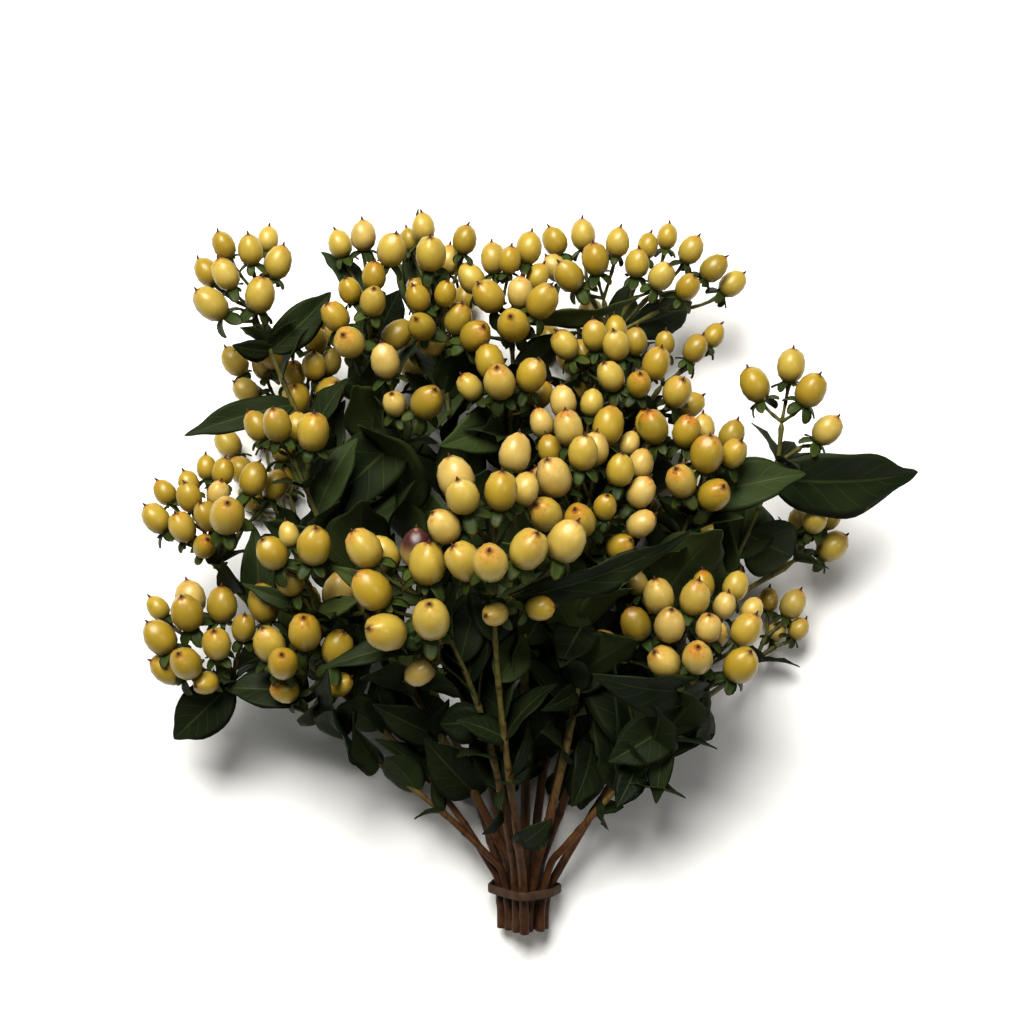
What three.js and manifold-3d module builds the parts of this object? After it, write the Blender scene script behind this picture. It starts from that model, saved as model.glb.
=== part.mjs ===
// A hand-tied bunch of fifteen hypericum stems, laid down on a flat surface: red-brown stems that fan out
// from a rubber band, leaves, and forked heads of cream-yellow berries. Millimetres, +Z up.
import * as THREE from "three";
import { mergeVertices } from "three/addons/utils/BufferGeometryUtils.js";
import Module from "manifold-3d";

const wasm = await Module();
wasm.setup();

// ---- Driving dimensions ----
const FOOT_RADIUS = 1.85; // a stem at its cut end
const STEM_TIP_RADIUS = 1.15; // a stem where its head forks
const BRANCH_RADIUS = 0.95; // what carries a second head
const TWIG_RADIUS = 0.8; // what carries three berries
const PEDICEL_RADIUS = 0.65; // what carries one berry
const KNOB_RADIUS = 1.7; // the swelling where a head forks
const LEAST_BERRY = 7.4; // width of the smallest berry
const MOST_BERRY = 12.4; // and of the greatest
const BERRY_LENGTH_RATIO = 1.16; // length over width
const STYLE_LENGTH = 1.4; // the dry tip of a berry
const LEAF_THICKNESS = 0.8;
const BAND_WIDTH = 3;
const BAND_THICKNESS = 1.1;
const BAND_HEIGHT = 14; // from the cut ends to the middle of the band
const BAND_SIDES = 22;
const JOIN_TOLERANCE = 0.1; // edges shorter than this are closed up after joining
const CLEARANCE = 0.55; // between one stem's growth and the next
const STEM_PITCH = 2 * FOOT_RADIUS + 0.4; // between stems in the band
const BAND_CLEARANCE = 0.75; // between the outer stems and the band
const REST_PRESS = 0.8; // how far the lowest berries are pressed flat
const WOOD_PRESS = 0.2; // and the lowest wood

// ---- The view that places are given in ----
// The bunch is seen from above, from 600 mm off its middle plane. A place is [x, y, depth]: x runs right and
// y down in units of 0.35 mm at the middle plane, and depth is how far in front of that plane it is, in
// millimetres.
const VIEW_UNIT = 0.35;
const VIEW_CENTRE = 512;
const VIEW_DISTANCE = 600;
const LEAN = THREE.MathUtils.degToRad(15.2); // the middle plane's slope once the bunch lies down
const ORIGIN_SHIFT = new THREE.Vector3(-8.7, 14.4, 45.9); // puts the origin under the laid bunch's middle
const ACROSS = new THREE.Vector3(1, 0, 0);
const ALONG = new THREE.Vector3(0, Math.cos(LEAN), Math.sin(LEAN)); // from the cut ends to the crown
const FRONT = new THREE.Vector3(0, -Math.sin(LEAN), Math.cos(LEAN)); // towards the eye

const CUT_END = [523, 928]; // x and y of the bundle where it is cut
const CROWN_MIDDLE = [480, 440];

// ---- The stems, each with its heads of berries ----
// via: places that pull the stem's course. fork: where a head begins. at: how far up the stem a further
// head's branch leaves it, from 0 to 1. A berry is [x, y, width in view units, millimetres in front of its
// head]. A head at the back is a flat spiral of berries instead.
const STEMS = [
  {
    name: "stem_01_top_left",
    via: [[480, 740, -30], [330, 520, -35]],
    heads: [
      {
        fork: [268, 345, 0], depth: 5,
        berries: [
          [226, 246, 24], [249, 250, 26], [268, 240, 22, -8], [277, 262, 29], [208, 272, 26, -4],
          [222, 280, 28], [214, 298, 32, 6], [260, 295, 32, 4],
        ],
      },
      {
        fork: [300, 425, -34], at: 0.72, depth: -28,
        berries: [
          [236, 362, 27], [248, 389, 25], [262, 365, 24, -6], [276, 360, 25], [292, 370, 26],
          [297, 332, 24], [310, 325, 25], [325, 330, 24, -5], [315, 345, 25, 4], [313, 366, 26, 5],
          [330, 362, 24], [325, 388, 31, 10], [297, 398, 31, 10],
        ],
      },
    ],
  },
  {
    name: "stem_02_left_row",
    via: [[490, 760, 0], [330, 640, 14]],
    heads: [
      {
        fork: [306, 488, 24], depth: 32,
        berries: [[258, 426, 28, -6], [278, 425, 31], [297, 428, 27, -12], [312, 432, 35, 5]],
      },
      {
        fork: [312, 612, 30], at: 0.68, depth: 40,
        berries: [[272, 553, 33, 6], [314, 546, 37, 8], [289, 535, 22, -6], [295, 580, 30, -4]],
      },
    ],
  },
  {
    name: "stem_03_upper_left",
    via: [[500, 740, -12], [400, 540, -14]],
    heads: [
      {
        fork: [372, 355, -14], depth: 0,
        berries: [
          [343, 243, 25, -10], [360, 237, 27, -6], [388, 255, 31, 4], [375, 275, 26], [348, 297, 24],
          [373, 299, 28, 4], [341, 311, 29, 2], [348, 340, 33, 10], [397, 335, 30, -6],
        ],
      },
      {
        fork: [402, 445, -8], at: 0.8, depth: 12,
        berries: [[385, 361, 31, 0], [395, 403, 25, -8], [427, 402, 34, 2]],
      },
    ],
  },
  {
    name: "stem_04_top",
    via: [[505, 740, -18], [455, 520, -20]],
    heads: [
      {
        fork: [442, 352, -12], depth: 0,
        berries: [
          [423, 228, 25, -4], [410, 240, 20, -12], [430, 254, 33, 6], [465, 240, 26, -4],
          [452, 262, 26, -12], [421, 290, 26, -6], [445, 296, 24, 2], [420, 302, 26, 4],
          [421, 322, 29, 8], [433, 340, 26, -2], [460, 320, 30, 2], [472, 333, 32, 10],
        ],
      },
      {
        fork: [430, 400, -42], at: 0.78, depth: -58,
        spiral: { centre: [425, 320], reach: 50, count: 7, width: 27 },
      },
    ],
  },
  {
    name: "stem_05_top_centre",
    via: [[530, 700, 0], [525, 520, 0]],
    heads: [
      {
        fork: [512, 345, -4], depth: 0,
        berries: [
          [492, 260, 27, -10], [468, 276, 28, -4], [510, 260, 24, -2], [533, 250, 28, -4],
          [530, 275, 24, -8], [493, 296, 32, 2], [520, 295, 28, 0], [538, 300, 33, 8], [514, 325, 35, 12],
        ],
      },
      {
        fork: [512, 440, 8], at: 0.76, depth: 18,
        berries: [
          [490, 362, 31, -4], [500, 382, 34, 6], [531, 375, 32, 4], [540, 395, 26, -8], [470, 387, 26, 0],
        ],
      },
    ],
  },
  {
    name: "stem_06_top_right",
    via: [[545, 720, -26], [590, 520, -38]],
    heads: [
      {
        fork: [612, 335, -34], depth: -28,
        berries: [
          [560, 240, 26, -4], [578, 236, 26, -6], [555, 268, 26, 0], [571, 274, 30, 8], [593, 261, 29, 4],
          [620, 245, 25], [650, 245, 22, -8], [637, 262, 26], [660, 275, 27, 4], [665, 238, 22, -10],
          [691, 250, 25, -6], [716, 270, 26, -4], [730, 282, 25, -6], [687, 287, 25, 4],
        ],
      },
      {
        fork: [600, 430, -46], at: 0.74, depth: -62,
        spiral: { centre: [590, 345], reach: 52, count: 7, width: 27 },
      },
    ],
  },
  {
    name: "stem_07_right_crown",
    via: [[560, 720, -8], [620, 560, -8]],
    heads: [
      {
        fork: [634, 425, -6], depth: 4,
        berries: [
          [565, 345, 28, 0], [583, 354, 26, -12], [597, 335, 28, -4], [614, 330, 24, -10], [616, 347, 29, 4],
          [635, 342, 26, -4], [614, 375, 29, 6], [637, 382, 26, 8], [655, 365, 30, 4], [665, 343, 20, -8],
          [695, 350, 25, -10], [714, 335, 22, -12], [677, 392, 31, 6], [690, 405, 26, -6],
        ],
      },
    ],
  },
  {
    name: "stem_08_right_row",
    via: [[570, 740, 12], [660, 620, 12]],
    heads: [
      {
        fork: [690, 515, 12], depth: 22,
        berries: [
          [648, 425, 28, -8], [660, 430, 31, 2], [680, 430, 30, -2], [706, 430, 25, -8], [726, 435, 27, -6],
          [733, 452, 28, 2], [703, 458, 36, 6], [685, 477, 32, 8], [714, 495, 34, 10],
        ],
      },
    ],
  },
  {
    name: "stem_09_centre",
    via: [[590, 760, 28], [590, 660, 34]],
    heads: [
      {
        fork: [588, 560, 26], depth: 36,
        berries: [
          [565, 405, 28, -14], [587, 403, 25, -16], [545, 420, 26, -14], [607, 430, 34, -10],
          [571, 430, 31, -2],
          [595, 445, 30, -6], [550, 450, 26, -10], [575, 460, 32, 6], [545, 480, 28, 0], [557, 482, 38, 8],
          [549, 502, 36, 14], [632, 443, 22, -14], [620, 470, 30, -2], [640, 472, 28, -8], [640, 495, 30, -4],
          [640, 517, 28, 0], [605, 507, 25, 4], [578, 520, 34, 10], [620, 535, 28, 0],
        ],
      },
    ],
  },
  {
    name: "stem_10_front_row",
    via: [[508, 780, 40], [492, 680, 60]],
    heads: [
      {
        fork: [494, 604, 54], depth: 64,
        berries: [
          [515, 453, 34, -8], [456, 478, 40, -2], [465, 500, 36, 6], [495, 492, 36, 4], [447, 521, 34, 4],
          [525, 490, 30, -8], [470, 562, 38, 8], [493, 560, 38, 12], [530, 550, 40, 10], [557, 543, 41, 8],
          [495, 614, 26, 2], [540, 608, 27, -2],
        ],
      },
    ],
  },
  {
    name: "stem_11_front_left",
    via: [[502, 790, 30], [480, 700, 58]],
    heads: [
      {
        fork: [450, 640, 48], depth: 56,
        berries: [
          [367, 550, 37, 0], [388, 552, 32, -8], [411, 550, 36, -6], [427, 563, 42, 6], [371, 588, 42, 2],
          [386, 632, 42, 6], [431, 619, 42, 10], [420, 672, 28, -6],
        ],
      },
    ],
  },
  {
    name: "stem_12_left",
    via: [[470, 770, 4], [330, 680, 4]],
    heads: [
      {
        fork: [216, 566, 6], depth: 12,
        berries: [
          [205, 470, 20, -12], [221, 478, 24, -6], [190, 482, 22, -10], [166, 492, 23, -8],
          [193, 500, 27, -2],
          [215, 490, 24, -4], [162, 520, 28, 0], [186, 528, 28, 0], [198, 540, 25, 2], [205, 515, 28, 2],
          [227, 515, 39, 20], [256, 480, 29, -4], [273, 485, 28, -8],
        ],
      },
      {
        fork: [300, 540, -36], at: 0.74, depth: -52,
        spiral: { centre: [265, 452], reach: 50, count: 7, width: 27 },
      },
    ],
  },
  {
    name: "stem_13_lower_left",
    via: [[470, 815, 14], [400, 745, 16]],
    heads: [
      {
        fork: [300, 704, 14], depth: 22,
        berries: [
          [260, 608, 34, -2], [270, 645, 34, 4], [287, 655, 33, 10], [303, 635, 36, 6], [308, 603, 32, -6],
          [341, 605, 36, -4], [337, 648, 34, 4], [285, 690, 28, 4], [340, 685, 24, 2],
        ],
      },
      {
        fork: [232, 684, 8], at: 0.96, depth: 14,
        berries: [
          [190, 600, 32, -4], [158, 608, 22, -8], [182, 616, 34, 2], [166, 632, 33, 4], [170, 668, 33, 2],
          [186, 663, 33, 8], [206, 683, 25, 6], [221, 605, 32, 2], [220, 642, 31, 6], [243, 626, 26, 10],
        ],
      },
    ],
  },
  {
    name: "stem_14_lower_right",
    via: [[585, 815, 22], [640, 750, 26]],
    heads: [
      {
        fork: [690, 700, 22], depth: 30,
        berries: [
          [637, 583, 24, -12], [661, 600, 33, 0], [694, 602, 33, 2], [637, 622, 33, -2], [669, 623, 33, 6],
          [606, 644, 28, -4], [707, 628, 28, 4], [722, 633, 24, 0], [740, 630, 32, 2], [725, 605, 25, -8],
          [703, 585, 25, -12], [735, 587, 27, -12], [752, 610, 23, -8], [665, 662, 34, 6], [698, 654, 33, 10],
          [741, 665, 36, 10],
        ],
      },
      {
        fork: [755, 662, -22], at: 0.86, depth: -26,
        berries: [[770, 600, 20], [792, 605, 26], [779, 632, 21], [795, 628, 18]],
      },
    ],
  },
  {
    name: "stem_15_far_right",
    via: [[610, 820, 0], [680, 700, 0]],
    heads: [
      {
        fork: [778, 462, 0], depth: 2,
        berries: [[755, 385, 31, 0], [791, 366, 30, 0], [811, 390, 32, 4], [827, 430, 29, 4]],
      },
      {
        fork: [795, 560, -20], at: 0.7, depth: -20,
        berries: [[800, 522, 24], [814, 520, 26, 4], [830, 520, 22, -4], [832, 545, 29]],
      },
      {
        fork: [680, 590, -36], at: 0.6, depth: -46,
        spiral: { centre: [684, 506], reach: 48, count: 7, width: 26 },
      },
    ],
  },
];

// ---- The leaves that are placed by hand ----
// base and tip are places, width is in view units, turn rolls the blade about its midrib, in degrees: at 0 it
// faces the eye. Each grows from the nearest wood.
const LEAVES = [
  { base: [775, 476, 0], tip: [918, 472, -8], width: 72, turn: 12 },
  { base: [732, 512, 14], tip: [806, 474, 20], width: 50, turn: -18 },
  { base: [750, 470, -16], tip: [796, 448, -22], width: 24, turn: 40 },
  { base: [722, 520, -6], tip: [792, 556, -14], width: 62, turn: 15 },
  { base: [545, 592, 62], tip: [692, 530, 62], width: 36, turn: 34 },
  { base: [560, 590, 50], tip: [600, 606, 58], width: 22, turn: 0 },
  { base: [428, 548, 46], tip: [428, 476, 56], width: 38, turn: 0 },
  { base: [404, 530, 34], tip: [340, 537, 42], width: 20, turn: 20 },
  { base: [358, 462, 4], tip: [306, 526, 16], width: 62, turn: 0 },
  { base: [372, 380, -16], tip: [384, 500, -6], width: 46, turn: -20 },
  { base: [222, 690, 4], tip: [174, 739, 4], width: 50, turn: 0 },
  { base: [316, 692, 16], tip: [232, 664, 26], width: 42, turn: 30 },
  { base: [330, 612, 26], tip: [245, 556, 34], width: 20, turn: 60 },
  { base: [446, 646, 50], tip: [316, 672, 56], width: 27, turn: 35 },
  { base: [238, 596, 8], tip: [224, 572, 24], width: 24, turn: 20 },
  { base: [297, 412, 4], tip: [184, 436, 4], width: 30, turn: 10 },
  { base: [274, 350, 0], tip: [331, 292, -6], width: 36, turn: 20 },
  { base: [266, 352, 0], tip: [232, 345, 6], width: 22, turn: 10 },
  { base: [378, 300, -14], tip: [321, 252, -18], width: 28, turn: 20 },
  { base: [432, 300, -18], tip: [443, 197, -16], width: 20, turn: 35 },
  { base: [418, 330, -22], tip: [408, 240, -26], width: 34, turn: 0 },
  { base: [622, 345, -40], tip: [628, 283, -46], width: 30, turn: 0 },
  { base: [640, 350, -40], tip: [692, 302, -50], width: 40, turn: 10 },
  { base: [560, 314, -12], tip: [642, 324, -6], width: 26, turn: 62 },
  { base: [430, 786, 4], tip: [362, 764, 12], width: 24, turn: 15 },
  { base: [388, 752, 14], tip: [354, 727, 22], width: 24, turn: 0 },
  { base: [430, 742, 6], tip: [372, 704, 16], width: 34, turn: 0 },
  { base: [486, 792, 10], tip: [424, 738, 18], width: 46, turn: 0 },
  { base: [505, 806, 26], tip: [474, 812, 32], width: 22, turn: 0 },
  { base: [535, 846, 22], tip: [552, 818, 30], width: 30, turn: 0 },
  { base: [634, 762, 20], tip: [616, 808, 26], width: 30, turn: 0 },
  { base: [676, 742, 18], tip: [656, 804, 22], width: 24, turn: 70 },
  { base: [714, 690, 10], tip: [694, 744, 20], width: 40, turn: 10 },
  { base: [704, 706, 34], tip: [592, 674, 48], width: 54, turn: 20 },
  { base: [655, 708, 16], tip: [608, 762, 26], width: 50, turn: 0 },
  { base: [590, 700, 34], tip: [541, 711, 44], width: 20, turn: 0 },
  { base: [532, 762, 24], tip: [528, 718, 32], width: 28, turn: 0 },
  { base: [590, 742, 10], tip: [548, 792, 20], width: 48, turn: 0 },
  { base: [500, 700, 30], tip: [440, 724, 34], width: 40, turn: 0 },
  { base: [470, 420, 0], tip: [440, 446, 14], width: 50, turn: -10 },
  { base: [520, 620, 30], tip: [560, 668, 40], width: 44, turn: 0 },
  { base: [620, 620, 2], tip: [640, 560, 14], width: 50, turn: 0 },
  { base: [690, 600, 0], tip: [676, 552, 12], width: 46, turn: -10 },
  { base: [370, 700, 20], tip: [420, 672, 28], width: 40, turn: 10 },
  { base: [402, 437, -8], tip: [350, 345, -24], width: 46, turn: 0 },
  { base: [471, 566, -22], tip: [404, 462, -24], width: 50, turn: 0 },
  { base: [522, 640, -8], tip: [560, 570, -10], width: 52, turn: 0 },
  { base: [558, 669, -24], tip: [516, 590, -28], width: 54, turn: 0 },
  { base: [525, 750, -4], tip: [584, 680, -4], width: 50, turn: 0 },
  { base: [501, 757, -8], tip: [452, 682, -14], width: 46, turn: 0 },
  { base: [544, 761, -14], tip: [528, 660, -18], width: 50, turn: 0 },
  { base: [565, 742, -8], tip: [632, 680, -14], width: 52, turn: 0 },
  { base: [434, 694, -14], tip: [398, 618, -20], width: 42, turn: 0 },
  { base: [262, 612, 4], tip: [254, 526, 0], width: 34, turn: 0 },
  { base: [415, 330, -18], tip: [396, 262, -28], width: 26, turn: 0 },
  { base: [430, 262, -24], tip: [443, 197, -22], width: 15, turn: 30 },
  { base: [487, 664, -16], tip: [478, 560, -24], width: 50, turn: 0 },
  { base: [600, 600, -16], tip: [574, 520, -24], width: 46, turn: 0 },
];

// ---- Working out the places ----
const PACK_ROUNDS = 400; // of packing the stems' feet
const DRAW_ROUNDS = 340; // first of them, in which the feet are drawn in
const DRAW_IN = 0.985; // a foot's distance to the middle after each of those rounds
const FOOT_SPREAD = 0.03; // how far out a foot starts, as a share of how far out its stem runs
const VIA_WEIGHT = 1.5; // of the places that a stem's course passes, beside its head
const DEPTH_WEIGHT = 1.6; // of the way to the front, beside the way across
const STRAIGHT_LENGTH = 36; // of each stem above its foot
const HEAD_LEAD = 22; // of each stem below its fork, in line with its head
const HELD_LENGTH = 20; // of each stem, from its cut end, where the band holds it
const HEAD_BULGE = 7; // how far the middle of a head stands in front of its rim
const SPIRAL_STAGGER = 10; // how unevenly deep the berries of a spiral are
const GOLDEN_ANGLE = 2.39996; // between each berry of a spiral and the next
const HIDDEN_STEP = -10; // a berry this far behind its head keeps its room, but isn't built
const KNOT_SHARE = 0.5; // of the way from a fork to three berries, where their twig parts
const STEP = 6; // between two points of a stem
const ROD_STEP = 2.5; // between two balls along a thin twig
const BERRY_BALL = 0.53; // radius of a berry's ball over its width
const NEAR = 14; // farthest that two balls lie apart and are still watched
const ROUNDS = 160; // of pushing apart
const PULL_ROUNDS = 90; // first of them, in which all is drawn back to its first place
const SMOOTH_ROUNDS = 148; // first of them, in which the stems are smoothed
const PULL = 0.06; // share of the way back in a round
const SMOOTH = 0.35; // share of the way to the middle of its neighbours in a round
const PUSH = 0.4; // share of an overlap that each of two balls is moved by in a round
const RAISE = 0.6; // share of what lies too low that a ball is raised by in a round

// A place in the view as a point of the laid bunch.
function place([x, y, depth = 0]) {
  const scale = (VIEW_UNIT * (VIEW_DISTANCE - depth)) / VIEW_DISTANCE;
  return new THREE.Vector3()
    .addScaledVector(ACROSS, (x - VIEW_CENTRE) * scale)
    .addScaledVector(ALONG, (VIEW_CENTRE - y) * scale)
    .addScaledVector(FRONT, depth)
    .add(ORIGIN_SHIFT);
}

// A width in view units at a depth, in millimetres.
const viewSize = (size, depth) => (size * VIEW_UNIT * (VIEW_DISTANCE - depth)) / VIEW_DISTANCE;

const meanOf = (points) => {
  const sum = points.reduce((total, p) => total.add(p), new THREE.Vector3());
  return sum.divideScalar(points.length);
};

// The point at t of the Bezier curve over a list of points.
function bezier(points, t) {
  let row = points.map((p) => p.clone());
  while (row.length > 1) row = row.slice(1).map((p, i) => row[i].clone().lerp(p, t));
  return row[0];
}

// Repeatable draws between 0 and 1.
function draws(seed) {
  let state = seed;
  return () => {
    state = (state * 16807) % 2147483647;
    return state / 2147483647;
  };
}

// The berries of a head: those in its list, or a flat spiral of them for a head that grows at the back.
function berriesOf(head, seed) {
  if (!head.spiral) return head.berries;
  const random = draws(seed);
  const { centre, reach, count, width } = head.spiral;
  return Array.from({ length: count }, (_, i) => {
    const radius = reach * Math.sqrt((i + 0.5) / count);
    const angle = i * GOLDEN_ANGLE;
    const step = SPIRAL_STAGGER * random();
    return [centre[0] + radius * Math.cos(angle), centre[1] + radius * Math.sin(angle), width, step];
  });
}

// Feet of the stems: each starts on the side of the bundle that its head grows to, and they are packed at
// STEM_PITCH by drawing them in and pushing them apart, in the plane of the cut.
function packFeet() {
  const middle = place(CROWN_MIDDLE);
  const feet = STEMS.map((stem) => {
    const off = place(stem.heads[0].fork).sub(middle);
    stem.via.forEach((via) => off.addScaledVector(place(via).sub(middle), VIA_WEIGHT));
    const foot = new THREE.Vector2(off.dot(ACROSS), off.dot(FRONT) * DEPTH_WEIGHT);
    return foot.multiplyScalar(FOOT_SPREAD);
  });
  for (let round = 0; round < PACK_ROUNDS; round++) {
    if (round < DRAW_ROUNDS) feet.forEach((foot) => foot.multiplyScalar(DRAW_IN));
    for (let i = 0; i < feet.length; i++) {
      for (let j = i + 1; j < feet.length; j++) {
        const gap = feet[j].clone().sub(feet[i]);
        const short = STEM_PITCH - gap.length();
        if (short > 0) {
          gap.setLength(short / 2);
          feet[i].sub(gap);
          feet[j].add(gap);
        }
      }
    }
  }
  return feet;
}

// A head's berries as points and widths in millimetres, its fork, and the middle of its berries.
function headOf(spec, seed) {
  const list = berriesOf(spec, seed);
  const x0 = list.reduce((sum, [x]) => sum + x, 0) / list.length;
  const y0 = list.reduce((sum, [, y]) => sum + y, 0) / list.length;
  const reach = Math.max(...list.map(([x, y]) => Math.hypot(x - x0, y - y0)));
  const berries = list.map(([x, y, size, step = 0]) => {
    const rim = Math.hypot(x - x0, y - y0) / reach;
    const depth = spec.depth + step + HEAD_BULGE * (1 - rim * rim);
    const width = THREE.MathUtils.clamp(viewSize(size, depth), LEAST_BERRY, MOST_BERRY);
    return { p: place([x, y, depth]), width, hidden: step <= HIDDEN_STEP };
  });
  return { fork: place(spec.fork), at: spec.at, berries, centre: meanOf(berries.map(({ p }) => p)) };
}

// Points STEP apart along a stem's course from its foot, past its via places, to the fork of its main head.
function courseOf(spec, foot, { fork, centre }) {
  const lead = centre.clone().sub(fork).setLength(HEAD_LEAD);
  const straight = foot.clone().addScaledVector(ALONG, STRAIGHT_LENGTH);
  const pulls = [foot, straight, ...spec.via.map(place), fork.clone().sub(lead), fork];
  const parts = 60;
  const rough = Array.from({ length: parts + 1 }, (_, i) => bezier(pulls, i / parts));
  const length = rough.slice(1).reduce((sum, p, i) => sum + p.distanceTo(rough[i]), 0);
  const count = Math.round(length / STEP);
  return Array.from({ length: count + 1 }, (_, i) => bezier(pulls, i / count));
}

// Radius of a stem at a share of its length.
const stemRadius = (share) => THREE.MathUtils.lerp(FOOT_RADIUS, STEM_TIP_RADIUS, share);

// Within one stem, berries and pedicels keep clear of all that they aren't joined to.
function crowds(a, b) {
  if (a.kind === "wood" && b.kind === "wood") return false;
  return a.a !== b.a && a.a !== b.b && a.b !== b.a && a.b !== b.b;
}

// The wood and the berries as balls: each lies between two free points, or at one, and moves with them.
function plant() {
  const feet = packFeet();
  const bundle = place(CUT_END);
  const free = [];
  const balls = [];
  const addFree = (p, hold = 1) => {
    return free.push({ p: p.clone(), home: p.clone(), push: new THREE.Vector3(), hold }) - 1;
  };
  const addBall = (a, b, s, radius, stem, kind) => {
    balls.push({ a, b, s, radius, stem, kind, p: new THREE.Vector3() });
  };
  const addRod = (a, b, radius, stem, kind) => {
    const count = Math.max(2, Math.round(free[a].p.distanceTo(free[b].p) / ROD_STEP));
    for (let i = 0; i < count; i++) addBall(a, b, 0.15 + (0.85 * i) / count, radius, stem, kind);
  };
  const stems = STEMS.map((spec, s) => {
    const foot = bundle.clone().addScaledVector(ACROSS, feet[s].x).addScaledVector(FRONT, feet[s].y);
    const heads = spec.heads.map((head, h) => headOf(head, 1000 * (s + 1) + h));
    const chain = courseOf(spec, foot, heads[0]).map((p, i) => addFree(p, i * STEP < HELD_LENGTH ? 0 : 1));
    const last = chain.length - 1;
    chain.forEach((f, i) => {
      addBall(f, f, 0, stemRadius(i / last), s, "wood");
      if (i < last) addBall(f, chain[i + 1], 0.5, stemRadius(i / last), s, "wood");
    });
    const stem = { name: spec.name, chain, branches: [], sprigs: [] };
    heads.forEach((head, h) => {
      let fork = chain[last];
      if (h > 0) {
        const root = chain[Math.round(head.at * last)];
        fork = addFree(head.fork);
        addRod(root, fork, BRANCH_RADIUS, s, "wood");
        stem.branches.push({ root, fork });
      }
      addBall(fork, fork, 0, KNOB_RADIUS, s, "wood");
      for (let i = 0; i < head.berries.length; i += 3) {
        const three = head.berries.slice(i, i + 3);
        const knot = addFree(free[fork].p.clone().lerp(meanOf(three.map(({ p }) => p)), KNOT_SHARE));
        addRod(fork, knot, TWIG_RADIUS, s, "wood");
        const berries = three.map(({ p, width, hidden }) => {
          const f = addFree(p);
          addBall(f, f, 0, width * BERRY_BALL, s, "berry");
          addRod(knot, f, PEDICEL_RADIUS, s, "pedicel");
          return { f, width, hidden };
        });
        stem.sprigs.push({ fork, knot, berries });
      }
    });
    return stem;
  });
  return { free, balls, stems };
}

// Moves the free points until no two stems' balls overlap and none lies below the surface.
function pushApart({ free, balls, stems }) {
  const follow = () => balls.forEach((ball) => ball.p.copy(free[ball.a].p).lerp(free[ball.b].p, ball.s));
  follow();
  const pairs = [];
  balls.forEach((a, i) => {
    balls.slice(i + 1).forEach((b) => {
      if (a.stem === b.stem && !crowds(a, b)) return;
      if (a.p.distanceTo(b.p) < a.radius + b.radius + NEAR) pairs.push([a, b]);
    });
  });
  const gap = new THREE.Vector3();
  for (let round = 0; round < ROUNDS; round++) {
    free.forEach((point) => point.push.set(0, 0, 0));
    pairs.forEach(([a, b]) => {
      gap.subVectors(b.p, a.p);
      const short = a.radius + b.radius + CLEARANCE - gap.length();
      if (short <= 0) return;
      gap.setLength(short * PUSH);
      free[a.a].push.addScaledVector(gap, -(1 - a.s));
      free[a.b].push.addScaledVector(gap, -a.s);
      free[b.a].push.addScaledVector(gap, 1 - b.s);
      free[b.b].push.addScaledVector(gap, b.s);
    });
    balls.forEach((ball) => {
      const short = ball.radius - (ball.kind === "berry" ? REST_PRESS : WOOD_PRESS) - ball.p.z;
      if (short <= 0) return;
      free[ball.a].push.z += short * RAISE * (1 - ball.s);
      free[ball.b].push.z += short * RAISE * ball.s;
    });
    free.forEach((point) => {
      point.p.addScaledVector(point.push, point.hold);
      if (round < PULL_ROUNDS) point.p.lerp(point.home, PULL * point.hold);
    });
    if (round < SMOOTH_ROUNDS) {
      stems.forEach(({ chain }) => {
        const before = chain.map((f) => free[f].p.clone());
        for (let i = 1; i < chain.length - 1; i++) {
          free[chain[i]].p.lerp(meanOf([before[i - 1], before[i + 1]]), SMOOTH * free[chain[i]].hold);
        }
      });
    }
    follow();
  }
}

// ---- Leaves ----
const LEAF_ARCH = 0.09; // rise of the midrib over its chord, as a share of the leaf's length
const LEAF_FOLD = 0.22; // rise of the edges over the midrib, as a share of the half width
const LEAF_FOOT = 0.8; // half width of a leaf's foot
const LARGE_LEAF = 38; // a leaf longer than this has five stations
const SMALL_LEAF = 27; // and one shorter than this has three
const ACROSS_SAMPLES = [-1, -0.67, -0.33, 0, 0.33, 0.67, 1];
const BASE_SAMPLES = [0.08, 0.14, 0.2, 0.26];
const BLADE_SAMPLES = [0.32, 0.39, 0.46, 0.53, 0.6, 0.67, 0.74, 0.81, 0.88, 0.94, 1];
const LEAF_SIZES = [1, 0.9, 0.8, 0.68];
const LEAF_LIFTS = [0, 8, -8, 16, -16];
const LEAF_SWINGS = [0, 10, -10];
const LEAF_ROLLS = [0, 18, -18, 36, -36, 60, -60];
const LEAF_ROOM = 1.6; // least room for a leaf that is kept
const LEAF_APART = 1.6; // more that two leaves keep between their sampled points
const LEAF_CLEAR = 0.6; // a leaf's middle surface over the surface it lies on, beside its room
const LEAF_WATCH = 22; // how far past a leaf's length its neighbours are watched
const PAIR_AT = 0.68; // how far up each stem its pair of side leaves grows
const PAIR_LENGTH = 50;
const PAIR_WIDTH = 23;
const PAIR_OUT = 0.8; // how far a side leaf points outward
const PAIR_UP = 0.6; // and along its stem
const PAIR_TURN = 0.7; // from each stem's pair to the next stem's, in radians
const PAIR_REACH = 75; // how far to the side a leaf of a pair may end; those further out were stripped off
const PAIR_DEPTH = 50; // and how far in front, where leaves would hide the berries

// The half width of a leaf at s, from 0 at its base to 1 at its tip, as a share of its greatest half width.
const leafOutline = (s) => 2.674 * s ** 0.6 * (1 - s) ** 0.85;

// Where a leaf's outline has points, from its base to its tip.
function leafStations(length) {
  if (length > LARGE_LEAF) return [0, 0.2, 0.45, 0.75, 1];
  return length > SMALL_LEAF ? [0, 0.32, 0.68, 1] : [0, 0.45, 1];
}

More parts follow.
